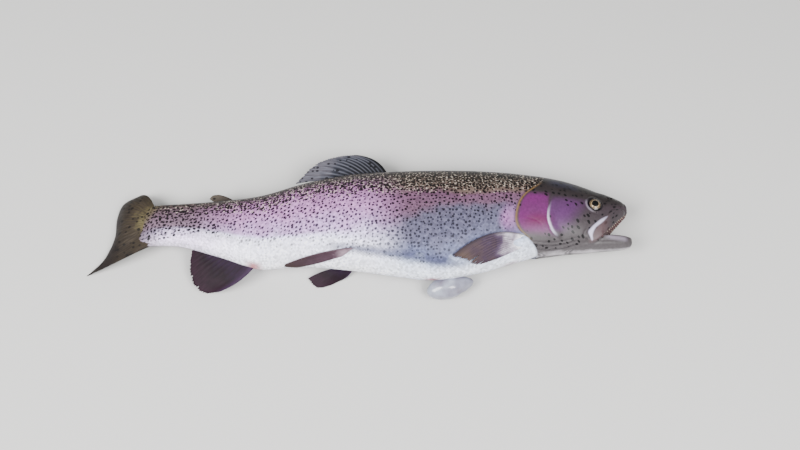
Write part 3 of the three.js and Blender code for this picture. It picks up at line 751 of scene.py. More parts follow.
def spots(tree, where, layer, amount, drawn_out=1.0):
    """A mask of round spots of uneven size, on a share of the cells of a loose grid."""
    cell_mm, radius_mm = layer
    scaled = node(tree, "VectorMath", {0: where, 1: (drawn_out / cell_mm, 1 / cell_mm, 0)},
                  operation="MULTIPLY")
    cells = node(tree, "TexVoronoi", {"Vector": scaled, "Scale": 1.0, "Randomness": LOOSENESS},
                 voronoi_dimensions="2D")
    chance = node(tree, "SeparateColor", {0: cells.node.outputs["Color"]})
    smallest, largest = (share * radius_mm / cell_mm for share in SPOT_SIZES)
    size = node(tree, "MapRange", {0: chance, 3: smallest, 4: largest})
    # Spots get smaller, and then stay away, towards where the amount runs out.
    room = node(tree, "Math", {0: amount, 1: chance.node.outputs[1]}, operation="SUBTRACT")
    room = node(tree, "MapRange", {0: room, 1: 0.0, 2: 0.1})
    size = node(tree, "Math", {0: size, 1: room}, operation="MULTIPLY")
    edge = node(tree, "Math", {0: size, 1: SPOT_EDGE}, operation="SUBTRACT")
    return node(tree, "MapRange", {0: cells.node.outputs["Distance"], 1: edge, 2: size, 3: 1.0,
                                   4: 0.0}, interpolation_type="SMOOTHSTEP")


def trout_paint(tree):
    """The colours of skin and scales alike: ground, patches, lines and spots."""
    colours = bpy.context.scene.trout_colours
    marks = {}
    for name, masks in MASKS.items():
        vector = node(tree, "Attribute", out="Vector", attribute_name=name)
        parts = node(tree, "SeparateXYZ", {0: vector}).node.outputs
        marks.update(zip(masks, parts))
        if name == "place":
            place = vector

    object_place = node(tree, "TexCoord", out="Object")
    cloud = node(tree, "TexNoise", {"Vector": object_place, "Scale": CLOUD, "Detail": 4.0})
    grain = node(tree, "TexNoise", {"Vector": object_place, "Scale": GRAIN, "Detail": 3.0})
    drift = node(tree, "MapRange", {0: cloud, 1: 0.25, 2: 0.75, 3: -0.035, 4: 0.035})
    zone = node(tree, "Math", {0: marks["zone"], 1: drift}, operation="ADD")

    to_rear, to_stalk = (
        node(tree, "MapRange", {0: marks["at"], 1: low, 2: high},
             interpolation_type="SMOOTHSTEP") for low, high in (REAR_FROM, STALK_FROM))
    ground = node(tree, "ValToRGB", {"Fac": zone}, stops=TRUNK_FRONT)
    ground = painted(tree, ground, (
        (mask, 1.0, node(tree, "ValToRGB", {"Fac": zone}, stops=stops))
        for mask, stops in ((to_rear, TRUNK_REAR), (to_stalk, TAIL_STALK),
                            (marks["head"], HEAD))))
    for name, strength, hex_colour in PATCHES:
        colour = linear(hex_colour) if hex_colour else getattr(colours, name)
        uneven = node(tree, "MapRange", {0: cloud, 1: 0.3, 2: 0.6, 3: strength * 0.75,
                                         4: strength})
        ground = painted(tree, ground, ((marks[name], uneven, colour),))
    shade = node(tree, "MapRange", {0: grain, 1: 0.3, 2: 0.7, 3: 0.86, 4: 1.12})
    ground = node(tree, "VectorMath", {0: ground, "Scale": shade}, operation="SCALE")

    # Spots and flecks lie on loose grids, pushed out of line so that no row shows.
    wobble = node(tree, "TexNoise", {"Vector": object_place, "Scale": WANDER, "Detail": 1.0},
                  out="Color")
    swing = node(tree, "VectorMath", {0: wobble, 1: (0.5, 0.5, 0.5)}, operation="SUBTRACT")
    swing = node(tree, "VectorMath", {0: swing, "Scale": SWING}, operation="SCALE")
    where = node(tree, "VectorMath", {0: place, 1: swing}, operation="ADD")

    # Few flecks along the back's ridge, so that it stays dark: part of the painted shade there.
    few_flecks = node(tree, "MapRange", {0: zone, 1: 0.06, 2: 0.22, 3: 0.12, 4: 0.95})
    fleckable = node(tree, "Math", {0: marks["back"], 1: few_flecks}, operation="MULTIPLY")
    flecks = spots(tree, where, FLECKS, fleckable)
    on_head = node(tree, "Math", {0: marks["flank"], 1: marks["head"]}, operation="MULTIPLY")
    few = node(tree, "Math", {0: marks["flank"], 1: on_head}, operation="SUBTRACT")
    few, many = (node(tree, "Math", {0: amount, 1: 1.05}, operation="MULTIPLY")
                 for amount in (few, marks["back"]))
    # The spots of the flank are fainter towards the belly.
    faint = node(tree, "MapRange", {0: zone, 1: 0.5, 2: 0.82, 3: 0.98, 4: 0.66})
    ground = painted(tree, ground, (
        (flecks, 0.8, colours.sparkle),
        (spots(tree, where, FLANK_SPOTS, few), faint, colours.spot),
        (spots(tree, where, BACK_SPOTS, many), 0.98, colours.spot),
        (spots(tree, where, TAIL_SPOTS, marks["tail"], drawn_out=0.8), 0.98, colours.spot),
        (spots(tree, where, HEAD_SPOTS, on_head), 0.98, colours.spot)))
    ground = painted(tree, ground, (
        (marks[name], strength, linear(hex_colour) if hex_colour else colours.gold)
        for name, strength, hex_colour in LINES))
    return ground, grain


def bare_skin():
    """Skin without scales, under a film of slime."""
    # Slime fills the pores, so it shines softly and evenly, over a fine grain.
    material, tree, output = new_material("wet bare skin")
    paint, grain = trout_paint(tree)
    relief = node(tree, "Bump", {"Strength": 0.25, "Distance": 0.0004, "Height": grain},
                  out="Normal")
    shader = node(tree, "BsdfPrincipled", {
        "Base Color": paint, "Roughness": 0.42, "IOR": 1.36, "Specular IOR Level": 0.4,
        "Normal": relief})
    tree.links.new(shader, output.inputs["Surface"])
    return material


def wet_scales():
    """Thin clear plates over a silvery backing."""
    # Each plate mirrors a little differently: this is painted into its colour, lighter or darker
    # than its neighbours, as painted reflection, so the flank has a pearly, woven look with no
    # sharp glint.
    material, tree, output = new_material("wet silvery scales")
    paint, _ = trout_paint(tree)
    plate_sheen = node(tree, "Attribute", out="Fac", attribute_name="plate_sheen")
    brighter = node(tree, "MapRange", {0: plate_sheen, 3: 0.72, 4: 1.28})
    paint = node(tree, "VectorMath", {0: paint, "Scale": brighter}, operation="SCALE")
    shader = node(tree, "BsdfPrincipled", {
        "Base Color": paint, "Metallic": 0.12, "Roughness": 0.42, "IOR": 1.36,
        "Specular IOR Level": 0.35})
    tree.links.new(shader, output.inputs["Surface"])
    return material


# ---- Skin --------------------------------------------------------------------

# Rows of points over the stretches of the skin, and where the stretches end.
HEAD_ROWS = 96
SHOULDER_ROWS = 38
SHOULDER_END = 200.0
TRUNK_STEP = 3.0
WEDGE_ROWS = 9
WEDGE_END = 522.0
JAW_ROWS = 40
CAVITY_ROWS = 20
THROAT = 66.0
MOUTH_STEPS = 56  # from lip to lip over the roof or the floor of the mouth
ARC_POWER = 2.2  # of the arcs from lip to lip: 2 is a parabola, and more is flatter
RING_POINTS = (14, 102, 29)  # round the back, the flank and the belly of one side
BACK_END = 30.0  # angle where the back's points give way to the flank's

# The OFBake map: the body's outside takes this share of its width, and the jaws and the
# mouth are strips beside it, one over the other.
MAP_WIDTH = 0.86
STRIP_AT = 0.88
STRIP_WIDTH = 0.11
UPPER_STRIP = (0.01, 0.5)
LOWER_STRIP = (0.52, 0.77)
CAVITY_STRIP = (0.79, 0.99)

# The gill cover's edge in section: how far behind the edge each row lies where
# the skin is closed, how much further where it opens, and how far it stands out.
FLAP = ((0.3, -0.1, 0.1), (0.6, -0.7, -0.7), (0.9, -2.4, -1.5), (1.3, -0.3, -1.97))


def ring_angles():
    """Angles of a ring's points from under the belly, up the left flank and down the
    right: closer together on the cheeks and flanks."""
    ends = (0, BACK_END, CORNER_ANGLE, 180)
    right = np.concatenate([
        np.linspace(start, end, count, endpoint=end == 180)
        for start, end, count in zip(ends, ends[1:], RING_POINTS)])
    return np.concatenate((-right[:0:-1], right))


def body_map(at, degrees):
    """A place on the body as a place on the OFBake map."""
    u = MAP_WIDTH * (at - MOUTH_CORNER) / (WEDGE_END - MOUTH_CORNER)
    return u, (np.asarray(degrees) + 180) / 360


def strip_map(points, low, high):
    """The strip between two heights of the OFBake map, for a jaw or the mouth's inside."""
    rows = np.linspace(0, 1, points.shape[0])[:, None]
    columns = np.linspace(0, 1, points.shape[1])
    return STRIP_AT + STRIP_WIDTH * rows, low + (high - low) * columns


def head_lift(at, height):
    """How far the skin of the head stands out of the plain section."""
    return head_relief(at, height) + eye_hollow(at, height)


def trunk_lift(at, degrees):
    """How far the skin of the trunk stands out of the plain section, under its scales."""
    depth = chosen("scale_depth")
    return flank_relief(at, degrees) + flap_sink(at, degrees) - depth * coat_share(at, degrees)


def body_sheet():
    """The outside from the mouth's corner to the tail: one ring of points a row."""
    angles = ring_angles()
    edge = gill_edge_at(np.abs(angles))
    opening = smooth(np.abs(angles), *GILL_OPENS)
    rows, lifts, mapped = [], [], []
    for share in np.linspace(0, 1, HEAD_ROWS):
        at = MOUTH_CORNER + share * (edge - MOUTH_CORNER)
        height, _ = on_body(at, angles)
        rows.append(at)
        lifts.append(head_lift(at, height))
        mapped.append(at)
    for closed, opened, lift in FLAP:
        rows.append(edge + closed + opening * opened)
        lifts.append(lift * opening)
        mapped.append(edge + closed)
    start = edge + FLAP[-1][0]
    for share in np.linspace(0, 1, SHOULDER_ROWS)[1:]:
        rows.append(start + share * (SHOULDER_END - start))
    trunk = np.arange(SHOULDER_END + TRUNK_STEP, LENGTH, TRUNK_STEP)
    for at in np.concatenate((trunk, np.linspace(LENGTH, WEDGE_END, WEDGE_ROWS))):
        rows.append(np.full_like(angles, at))
    behind = rows[len(lifts):]
    lifts += [trunk_lift(at, angles) for at in behind]
    mapped += behind
    at, lift = np.array(rows), np.array(lifts)
    degrees = np.broadcast_to(angles, at.shape)
    height, right = on_body(at, degrees, lift)
    right[-1] = 0
    points = to_frame(at, height, middle_at(at) + right)
    u, v = body_map(np.array(mapped), degrees)
    return bent_grid(points, markings(at, degrees, height), u, v)


def mouth_arc(lip_height, lip_half, middle):
    """Heights and distances to the right of arcs over the mouth, lip to lip."""
    across = np.linspace(1, -1, MOUTH_STEPS + 1)
    rise = 1 - np.abs(across) ** ARC_POWER
    lip_height, lip_half, middle = (value[:, None] for value in (lip_height, lip_half, middle))
    return lip_height + (middle - lip_height) * rise, lip_half * across


def jaw_sheet(angles, outline, inner, last_at, tip, strip):
    """One jaw: its outside from lip to lip, then its inside, row by row to the tip.
    The last row lies at a place just behind the tip, which is told as (at, height)."""
    at = last_at + (MOUTH_CORNER - last_at) * (np.linspace(1, 0, JAW_ROWS) ** 1.5)
    at = np.repeat(at[:, None], len(angles), axis=1)
    degrees = np.broadcast_to(angles, at.shape)
    height, _ = outline(at, degrees)
    height[0] = on_body(at[0], angles)[0]
    lift = head_lift(at, height)
    height, right = outline(at, degrees, lift)
    height[0], right[0] = on_body(at[0], angles, lift[0])

    column = at[:, 0]
    middle = size_at(MOUTH, inner, column)
    if inner == "roof":
        middle = np.maximum(middle, height[:, 0])
    arc_height, arc_right = mouth_arc(height[:, -1], right[:, -1], middle)

    # The lips fade into the colour of the mouth's inside.
    last = at.shape[1] - 1
    inside = np.concatenate((np.zeros(last), np.ones(MOUTH_STEPS + 1)))
    inside[last - 1:last + 2] = (0.15, 0.4, 0.8)
    inside[[0, -1]] = 0.4

    within = (len(column), MOUTH_STEPS)
    grids = []
    for outer, inner_part, end in (
            (at, np.broadcast_to(column[:, None], within), tip[0]),
            (height, arc_height[:, 1:], tip[1]), (right, arc_right[:, 1:], 0.0),
            (degrees, np.full(within, angles[-1]), None)):
        grid = np.concatenate((outer, inner_part), axis=1)
        end_row = grid[-1:] if end is None else np.full_like(grid[-1:], end)
        grids.append(np.concatenate((grid, end_row)))
    at, height, right, degrees = grids
    points = to_frame(at, height, middle_at(at) + right)
    return bent_grid(points, markings(at, degrees, height, inside),
                     *strip_map(points, *strip))


def cavity_sheet():
    """The inside of the mouth behind its corners, closed off in the throat."""
    at = np.linspace(MOUTH_CORNER, THROAT, CAVITY_ROWS)
    corner = np.array([MOUTH_CORNER]), np.array([CORNER_ANGLE])
    lift = head_lift(corner[0], on_body(*corner)[0])
    corner_height, corner_half = on_body(*corner, lift)
    side, half, roof, floor = (size_at(MOUTH, name, at)
                               for name in ("side", "half", "roof", "floor"))
    side[0], half[0] = corner_height[0], corner_half[0]
    height, right = (
        np.concatenate((over, under[:, -2::-1]), axis=1)
        for over, under in zip(mouth_arc(side, half, roof), mouth_arc(side, half, floor)))
    at = np.repeat(at[:, None], height.shape[1], axis=1)
    at = np.concatenate((at, at[-1:] + 2))
    height = np.concatenate((height, np.full((1, height.shape[1]), height[-1].mean())))
    right = np.concatenate((right, np.zeros((1, right.shape[1]))))
    points = to_frame(at, height, middle_at(at) + right)
    # It is marked as the throat's underside, which has no patches.
    marks = markings(at, np.full(at.shape, 150.0), height, inside=1.0)
    return bent_grid(points, marks, *strip_map(points, *CAVITY_STRIP))


def make_skin():
    """The one skin: body, jaws and mouth as sheets that share their edges."""
    angles = ring_angles()
    upper = angles[np.abs(angles) <= CORNER_ANGLE + 0.01]
    lower = np.linspace(CORNER_ANGLE, 360 - CORNER_ANGLE, MOUTH_STEPS + 1)
    return weld([
        body_sheet(),
        jaw_sheet(upper, on_upper_jaw, "roof", 0.25, (-0.2, 18.2), UPPER_STRIP),
        jaw_sheet(lower, on_lower_jaw, "floor", -0.8, (-1.0, -19.2), LOWER_STRIP),
        cavity_sheet(),
    ])


# ---- Scales ------------------------------------------------------------------

# One scale, 4.6 mm long and 3.3 wide: along the body from its root, across it, and over
# the skin. Its faces close it all round.
SCALE_LENGTH = 4.6
SCALE_POINTS = np.array((
    (0, -1.3, -0.35), (-0.1, 0, -0.25), (0, 1.3, -0.35),
    (2.3, -1.65, 0.02), (2.4, 0, 0.22), (2.3, 1.65, 0.02),
    (3.9, -1.15, 0.2), (4.6, 0, 0.32), (3.9, 1.15, 0.2),
    (2.3, -1.6, -0.35), (2.3, 1.6, -0.35),
    (3.8, -1.05, 0.0), (4.45, 0, 0.1), (3.8, 1.05, 0.0),
))
SCALE_FACES = ((0, 1, 4, 3), (1, 2, 5, 4), (3, 4, 7, 6), (4, 5, 8, 7), (0, 3, 9),
               (3, 6, 11, 9), (6, 7, 12, 11), (7, 8, 13, 12), (8, 5, 10, 13), (5, 2, 10),
               (9, 11, 12, 13, 10), (0, 9, 10, 2, 1))
SCALE_PATCH = 0.003  # size of a scale's patch on the OFBake map
SCALE_ZONES = {"shoulder": (80, 175), "middle": (175, 262), "rear": (262, 360),
               "tail": (360, 520)}
SCALE_SIZES_AT = (84, 130, 350, 512)  # from the first ring of scales to the last
SCALE_SIZES = (0.8, 1.0, 0.9, 0.62)
RING_GAP = 0.65  # between rings, as a share of the pitch, so that plates overlap
BARE_MARGIN = 2.0  # behind the gill cover's edge
SEED = 7
CREASE = math.radians(50)  # edges sharper than this catch the light


def scale_roots():
    """Where the scales grow, in staggered rings: at, angle and size, ring by ring."""
    pitch = chosen("scale_pitch")
    around = np.linspace(0, 360, 721)
    at = SCALE_SIZES_AT[0]
    found = []
    while at < SCALE_SIZES_AT[-1]:
        size = np.interp(at, SCALE_SIZES_AT, SCALE_SIZES)
        height, right = on_body(np.full_like(around, at), around)
        steps = np.hypot(np.diff(height), np.diff(right))
        passed = np.concatenate(([0], np.cumsum(steps)))
        count = 4 * round(passed[-1] / (pitch * size) / 4)
        places = (np.arange(count) + 0.5 * (len(found) % 2)) / count * passed[-1]
        degrees = np.interp(places, passed, around)
        found.append(np.stack([np.full(count, at), degrees, np.full(count, size)], axis=-1))
        at += RING_GAP * pitch * size
    roots = np.concatenate(found)
    covered = roots[:, 0] - gill_edge_at(folded(roots[:, 1])) > BARE_MARGIN
    return roots[covered]


def make_scales(zone, material):
    """The scales of one zone, as one mesh of closed plates."""
    chance = np.random.default_rng(SEED)
    roots = scale_roots()
    low, high = SCALE_ZONES[zone]
    roots = roots[(roots[:, 0] >= low) & (roots[:, 0] < high)]
    count = len(roots)
    at0, degrees0, size = (column[:, None] for column in roots.T)

    # Each scale is a little larger or smaller than its neighbours, and a little turned.
    size = size * chosen("scale_pitch") / USUAL_PITCH
    size = size * chance.uniform(0.94, 1.06, (count, 1))
    turn = chance.normal(0, 0.05, (count, 1))
    along, across, over = SCALE_POINTS.T
    a = size * (along * np.cos(turn) - across * np.sin(turn))
    b = size * (along * np.sin(turn) + across * np.cos(turn))

    step = 1.0
    height_a, right_a = on_body(at0, degrees0 - step)
    height_b, right_b = on_body(at0, degrees0 + step)
    mm_per_degree = np.hypot(height_b - height_a, right_b - right_a) / (2 * step)
    at = at0 + a
    degrees = degrees0 + b / mm_per_degree
    lift = trunk_lift(at, degrees) + over * size * chance.uniform(0.75, 1.2, (count, 1))
    height, right = on_body(at, degrees, lift)
    points = to_frame(at, height, middle_at(at) + right)

    # The mesh has the same faces for every plate, one plate after another.
    mesh = bpy.data.meshes.new("scales_" + zone)
    faces = np.arange(count)[:, None] * len(SCALE_POINTS)
    corners = np.concatenate([np.array(face) for face in SCALE_FACES])
    sizes = np.tile([len(face) for face in SCALE_FACES], count)
    mesh.vertices.add(points.shape[0] * points.shape[1])
    mesh.vertices.foreach_set("co", points.ravel())
    mesh.loops.add(count * len(corners))
    mesh.loops.foreach_set("vertex_index", (faces + corners).ravel())
    mesh.polygons.add(len(sizes))
    mesh.polygons.foreach_set("loop_start", np.concatenate(([0], np.cumsum(sizes)[:-1])))
    mesh.polygons.foreach_set("loop_total", sizes)
    mesh.update(calc_edges=True)

    # A plate has the masks of its root all over, but its points know their own places,
    # so that spots run on from plate to plate.
    root_height, _ = on_body(at0, degrees0)
    marks = markings(at0, degrees0, root_height)
    shape = at.shape
    marks["place"] = (at, np.broadcast_to(marks["place"][1], shape)
                      + b * np.where(marks["place"][1] < 0, -1, 1), girdle(at, degrees))
    set_marks(mesh, {name: [np.broadcast_to(part, shape) for part in parts]
                     for name, parts in marks.items()})
    # Each plate's own lightness, drawn at random, for its painted reflection.
    plate_sheen = mesh.attributes.new("plate_sheen", "FLOAT", "POINT")
    plate_sheen.data.foreach_set("value", np.repeat(chance.random(count), len(SCALE_POINTS)))
    u, v = body_map(at0, np.where(degrees0 > 180, degrees0 - 360, degrees0))
    set_bake_map(mesh, u + (along - SCALE_LENGTH / 2) / SCALE_LENGTH * SCALE_PATCH,
                 v + across / SCALE_LENGTH * SCALE_PATCH)
    mesh.validate()
    piece = bpy.data.objects.new("scales_" + zone, mesh)
    bpy.context.scene.collection.objects.link(piece)
    select_only(piece)
    edit_mesh(FACE_OUTWARDS)
    bpy.ops.object.shade_smooth_by_angle(angle=CREASE)
    return name_piece(piece, "scales_" + zone, material)


# ---- Fins --------------------------------------------------------------------

def beside(at, degrees, lift):
    """A place on the body, lifted off it, as at, height and height over the ground."""
    height, right = on_body(at, degrees, lift)
    return at, float(height), max(float(middle_at(at) + right), 0)


def way(start, end):
    """The step from one place to another."""
    return tuple(b - a for a, b in zip(start, end))


# Roots, tips and the bow of the rays between them, as (at, height, over the ground),
# from the leading ray to the last. "Rays" is how many there are, "tears" where the
# web is split: (share of the way across, depth as a share of the fin, width).
FINS = {
    "dorsal_fin": {
        "roots": ((253, 56, 31), (275, 55, 30.5), (298, 52, 30)),
        "tips": ((290, 86, 28), (310, 84, 27), (332, 75, 27), (354, 49, 28)),
        "bends": ((-5, 6, 0), (-3, 5, 1), (0, 2, 1)), "inward": (0, -5, 0),
        "rays": 13, "root_half": 1.3, "finish": "grey_web",
        "tears": ((0.42, 0.05, 0.012), (0.7, 0.08, 0.012)),
    },
    "adipose_fin": {
        "roots": ((413, 24, 26.4), (422, 23, 26.2), (431, 22, 26)),
        "tips": ((436, 38, 25), (442, 37, 25), (445, 33, 25)),
        "bends": ((-2, 2, 0), (-1, 1, 0), (0, 0, 0)), "inward": (0, -3, 0),
        "rays": 0, "root_half": 1.6, "finish": "fatty_fin", "tears": (),
    },
    "anal_fin": {
        "roots": ((388, -44, 27), (416, -34, 26.5), (443, -25, 25.5)),
        "tips": ((428, -68, 9), (444, -69, 8), (455, -60, 9), (460, -43, 14), (458, -26, 21)),
        "bends": ((-3, -4, 2), (0, -1, 3), (0, 0, 1)), "inward": (0, 5, 0),
        "rays": 13, "root_half": 1.5, "finish": "plum_web",
        "tears": ((0.42, 0.05, 0.02), (0.62, 0.04, 0.015), (0.8, 0.05, 0.02)),
    },
    "caudal_fin": {
        "roots": ((502, 23, 24), (506, 11, 24), (508, 1, 24), (506, -9, 24), (502, -21.5, 24)),
        "tips": ((531, 46, 1), (544, 38, 1), (548, 19, 2), (546, -3, 5), (554, -29, 4),
                 (567, -43, 1), (571, -47, 1)),
        "bends": ((-2, 6, 6), (3, 3, 7), (4, 0, 5), (0, 1, 3), (0, -3, 3)),
        "inward": (-4, 0, 0),
        "rays": 23, "root_half": 3.0, "finish": "tail_web",
        "tears": ((0.2, 0.04, 0.008), (0.46, 0.05, 0.008), (0.66, 0.04, 0.008)),
    },
    "pelvic_fin_right": {
        "roots": (beside(288, 138, -1.5), beside(294, 145, -1.5), beside(300, 152, -1.5)),
        "tips": (beside(358, 166, 1.5), beside(359, 171, 2), beside(347, 179, 2)),
        "bends": (way(beside(323, 150, 0), beside(323, 143, 3)), (0, 0, 2), (0, -3, 3)),
        "inward": way(beside(294, 145, -1.5), beside(294, 145, -6)),
        "rays": 10, "root_half": 1.0, "finish": "rosy_web",
        "tears": ((0.6, 0.08, 0.02),),
    },
    "pelvic_fin_left": {
        "roots": (beside(288, -138, -1.5), beside(294, -145, -1.5), beside(300, -152, -1.5)),
        "tips": ((305, -52, 1), (316, -58, 1), (328, -60, 1), (338, -50, 2)),
        "bends": ((-2, -3, -1), (0, 0, 0), (2, 2, 0)),
        "inward": way(beside(294, -145, -1.5), beside(294, -145, -6)),
        "rays": 10, "root_half": 1.4, "finish": "plum_web",
        "tears": ((0.35, 0.06, 0.015),),
    },
    "pectoral_fin_right": {
        "roots": (beside(112, 136, -4), beside(112, 144, -3.5), beside(113, 152, -3)),
        "tips": (beside(190, 141, 2), beside(176, 147, 3), beside(165, 157, 3),
                 beside(142, 156, 2)),
        "bends": (way(beside(143, 141, -5), beside(143, 123, 3)), (0, 4, 6), (0, -2, 4)),
        "inward": way(beside(112, 144, -3.5), beside(112, 144, -8)),
        "rays": 14, "root_half": 1.1, "finish": "brown_web",
        "tears": ((0.47, 0.16, 0.03), (0.58, 0.09, 0.016), (0.7, 0.13, 0.02),
                  (0.84, 0.08, 0.016)),
    },
    "pectoral_fin_left": {
        "roots": (beside(101, -138, -1.5), beside(105, -145, -1.5), beside(109, -152, -1.5)),
        "tips": ((182, -27, 1), (178, -34, 1), (166, -41, 1), (144, -38, 1)),
        "bends": ((0, 6, -4), (0, 3, -4), (0, 1, -4)),
        "inward": way(beside(105, -145, -1.5), beside(105, -145, -7)),
        "rays": 14, "root_half": 1.4, "finish": "brown_web",
        "tears": ((0.5, 0.08, 0.02),),
    },
}
WEB_HALF = 0.22  # half the thickness of the web between two rays
FIN_LIFT = 0.6  # how far a fin's middle stays over the ground
OVER_GROUND = 0.02  # and how far its lower side does
COLUMNS_PER_RAY = 10
FIN_ROWS = 26
EDGE_SHARE = 0.012  # of a fin, over which its front and rear edges are rounded


def along_knots(knots, share):
    """Places along a smooth line through a few points, at shares of its length."""
    knots = np.array(knots, float)
    padded = np.concatenate(([2 * knots[0] - knots[1]], knots, [2 * knots[-1] - knots[-2]]))
    position = np.clip(share, 0, 1) * (len(knots) - 1)
    i = np.minimum(position.astype(int), len(knots) - 2)
    w = (position - i)[..., None]
    p, q, r, s = (padded[i + k] for k in range(4))
    gap = [np.linalg.norm(b - a, axis=-1, keepdims=True) ** 0.5
           for a, b in ((p, q), (q, r), (r, s))]
    leave = ((q - p) / gap[0] - (r - p) / (gap[0] + gap[1]) + (r - q) / gap[1]) * gap[1]
    reach = ((r - q) / gap[1] - (s - q) / (gap[1] + gap[2]) + (s - r) / gap[2]) * gap[1]
    return ((2 * w ** 3 - 3 * w ** 2 + 1) * q + (w ** 3 - 2 * w ** 2 + w) * leave
            + (3 * w ** 2 - 2 * w ** 3) * r + (w ** 3 - w ** 2) * reach)


def fin_middle(fin, p, q):
    """The fin's middle sheet: p across its rays from the leading one, q out along them."""
    root, tip, bend = (along_knots(fin[name], p) for name in ("roots", "tips", "bends"))
    inside = np.clip(-q, 0, 1)[..., None]
    q = np.clip(q, 0, 1)[..., None]
    place = root + (tip - root) * q + bend * 4 * q * (1 - q) + np.array(fin["inward"]) * inside
    place[..., 2] = FIN_LIFT + np.maximum(place[..., 2] - FIN_LIFT, 0)
    return place


def ray_profile(fin, p, q):
    """1 on the crest of a ray and 0 on the web. Past its middle each ray forks."""
    if not fin["rays"]:
        return np.zeros(np.broadcast(p, q).shape)
    phase = p * (fin["rays"] - 1)
    off = np.abs(phase - np.rint(phase))
    fork = 0.25 * smooth(q, 0.35, 0.95)
    return np.exp(-((off - fork) / (0.17 - 0.24 * fork)) ** 2)


def make_fin(name, fin, material):
    """A fin as one closed sheet of rays and web, from inside the flesh to its ragged edge."""
    columns = max(fin["rays"] - 1, 4) * COLUMNS_PER_RAY
    rim = EDGE_SHARE * np.array((0, 0.03, 0.12, 0.3, 0.6))
    p = np.concatenate((rim, np.linspace(EDGE_SHARE, 1 - EDGE_SHARE, columns), 1 - rim[::-1]))
    q = np.concatenate(([-1, -0.5], np.linspace(0, 1, FIN_ROWS)))
    p, q = np.meshgrid(p, q, indexing="ij")

    # The edge is ragged: the web ends before the rays do, and has tears and waves.
    reach = 1 - 0.025 * (1 - ray_profile(fin, p, np.ones_like(p)))
    for share, depth, width in fin["tears"]:
        reach = reach - depth * bump(p, share, width)
    if fin["rays"]:
        reach = reach + 0.012 * np.sin(p * 61 + len(name)) * np.sin(p * 23)
    q = np.where(q > 0, q * reach, q)

    step, near = 0.01, np.clip(q, 0.01, 0.99)
    across = fin_middle(fin, p + step, near) - fin_middle(fin, p - step, near)
    out = fin_middle(fin, p, near + step) - fin_middle(fin, p, near - step)
    normal = np.cross(across, out)
    normal /= np.linalg.norm(normal, axis=-1, keepdims=True)

    # Half the thickness: web and rays, swelling to the fleshy root and rounded at the
    # front and rear edges.
    rays = ray_profile(fin, p, q)
    half = WEB_HALF + chosen("ray_ridge") * rays * (1 - 0.65 * q)
    half = half + (fin["root_half"] - half) * fade(q, 0, 0.42) ** 1.5
    edge = np.clip(np.minimum(p, 1 - p) / EDGE_SHARE, 0, 1)
    half = half * np.sqrt(1 - (1 - edge) ** 2)

    middle = fin_middle(fin, p, q)
    top = middle + normal * half[..., None]
    bottom = middle - normal * half[..., None]
    ring = np.concatenate((top, bottom[:, ::-1], top[:, :1]), axis=1)
    ring[..., 2] = np.maximum(ring[..., 2], OVER_GROUND)
    fan = [np.concatenate((value, value[:, ::-1], value[:, :1]), axis=1) for value in (p, q, rays)]
    marks = {"fan": fan, "place": (ring[..., 0], ring[..., 1], 0 * ring[..., 0])}
    points = to_frame(ring[..., 0], ring[..., 1], ring[..., 2] + SOFT_GROUND) \
        - np.array((0, 0, SOFT_GROUND * MM))
    u = fan[0]
    v = np.broadcast_to(np.linspace(0, 1, ring.shape[1]), u.shape)
    return name_piece(weld([bent_grid(points, marks, u, v)]), name, material)


# Clouds of 11 mm on the web, in waves a metre, and streaks along the rays: how many
# across the fin and along it. The web's own fibres are too fine to show, so the streaks
# are drawn as wide as half a millimetre and more.
WEB_CLOUD = 90.0
WEB_STREAKS = (90.0, 5.0, 0.0)


def fin_web(name, stops, ray, lead, slant, spotted):
    """Wet web between horny rays."""
    # Thin and dull, streaked along the rays, and darker at its leading edge.
    material, tree, output = new_material(name)
    fan = node(tree, "Attribute", out="Vector", attribute_name="fan")
    across, along, rays = node(tree, "SeparateXYZ", {0: fan}).node.outputs
    streaks = node(tree, "VectorMath", {0: fan, 1: WEB_STREAKS}, operation="MULTIPLY")
    streak = node(tree, "TexNoise", {"Vector": streaks, "Scale": 1.0, "Detail": 3.0})
    object_place = node(tree, "TexCoord", out="Object")
    cloud = node(tree, "TexNoise", {"Vector": object_place, "Scale": WEB_CLOUD,
                                    "Detail": 3.0})
    drift = node(tree, "MapRange", {0: cloud, 1: 0.3, 2: 0.7, 3: -0.14, 4: 0.14})
    out = node(tree, "Math", {0: along, 1: drift}, operation="ADD")
    later = node(tree, "MapRange", {0: across, 1: 0.45, 2: 1.0, 3: 0.0, 4: slant})
    out = node(tree, "Math", {0: out, 1: later}, operation="ADD")
    colour = node(tree, "ValToRGB", {"Fac": out}, stops=stops)
    colour = painted(tree, colour, ((rays, 0.55, linear(ray)),))
    shade = node(tree, "MapRange", {0: streak, 1: 0.3, 2: 0.7, 3: 0.6, 4: 1.4})
    colour = node(tree, "VectorMath", {0: colour, "Scale": shade}, operation="SCALE")
    front = node(tree, "MapRange", {0: across, 1: 0.02, 2: 0.13, 3: 0.8, 4: 0.0},
                 interpolation_type="SMOOTHSTEP")
    colour = painted(tree, colour, ((front, 1.0, linear(lead)),))
    if spotted:
        place = node(tree, "Attribute", out="Vector", attribute_name="place")
        dots = spots(tree, place, WEB_SPOTS, spotted, drawn_out=0.8)
        colour = painted(tree, colour,
                         ((dots, 0.85, bpy.context.scene.trout_colours.spot),))
    relief = node(tree, "Bump", {"Strength": 0.35, "Distance": 0.0003, "Height": streak},
                  out="Normal")
    shader = node(tree, "BsdfPrincipled", {
        "Base Color": colour, "Roughness": 0.6, "IOR": 1.36, "Specular IOR Level": 0.25,
        "Normal": relief})
    tree.links.new(shader, output.inputs["Surface"])
    return material


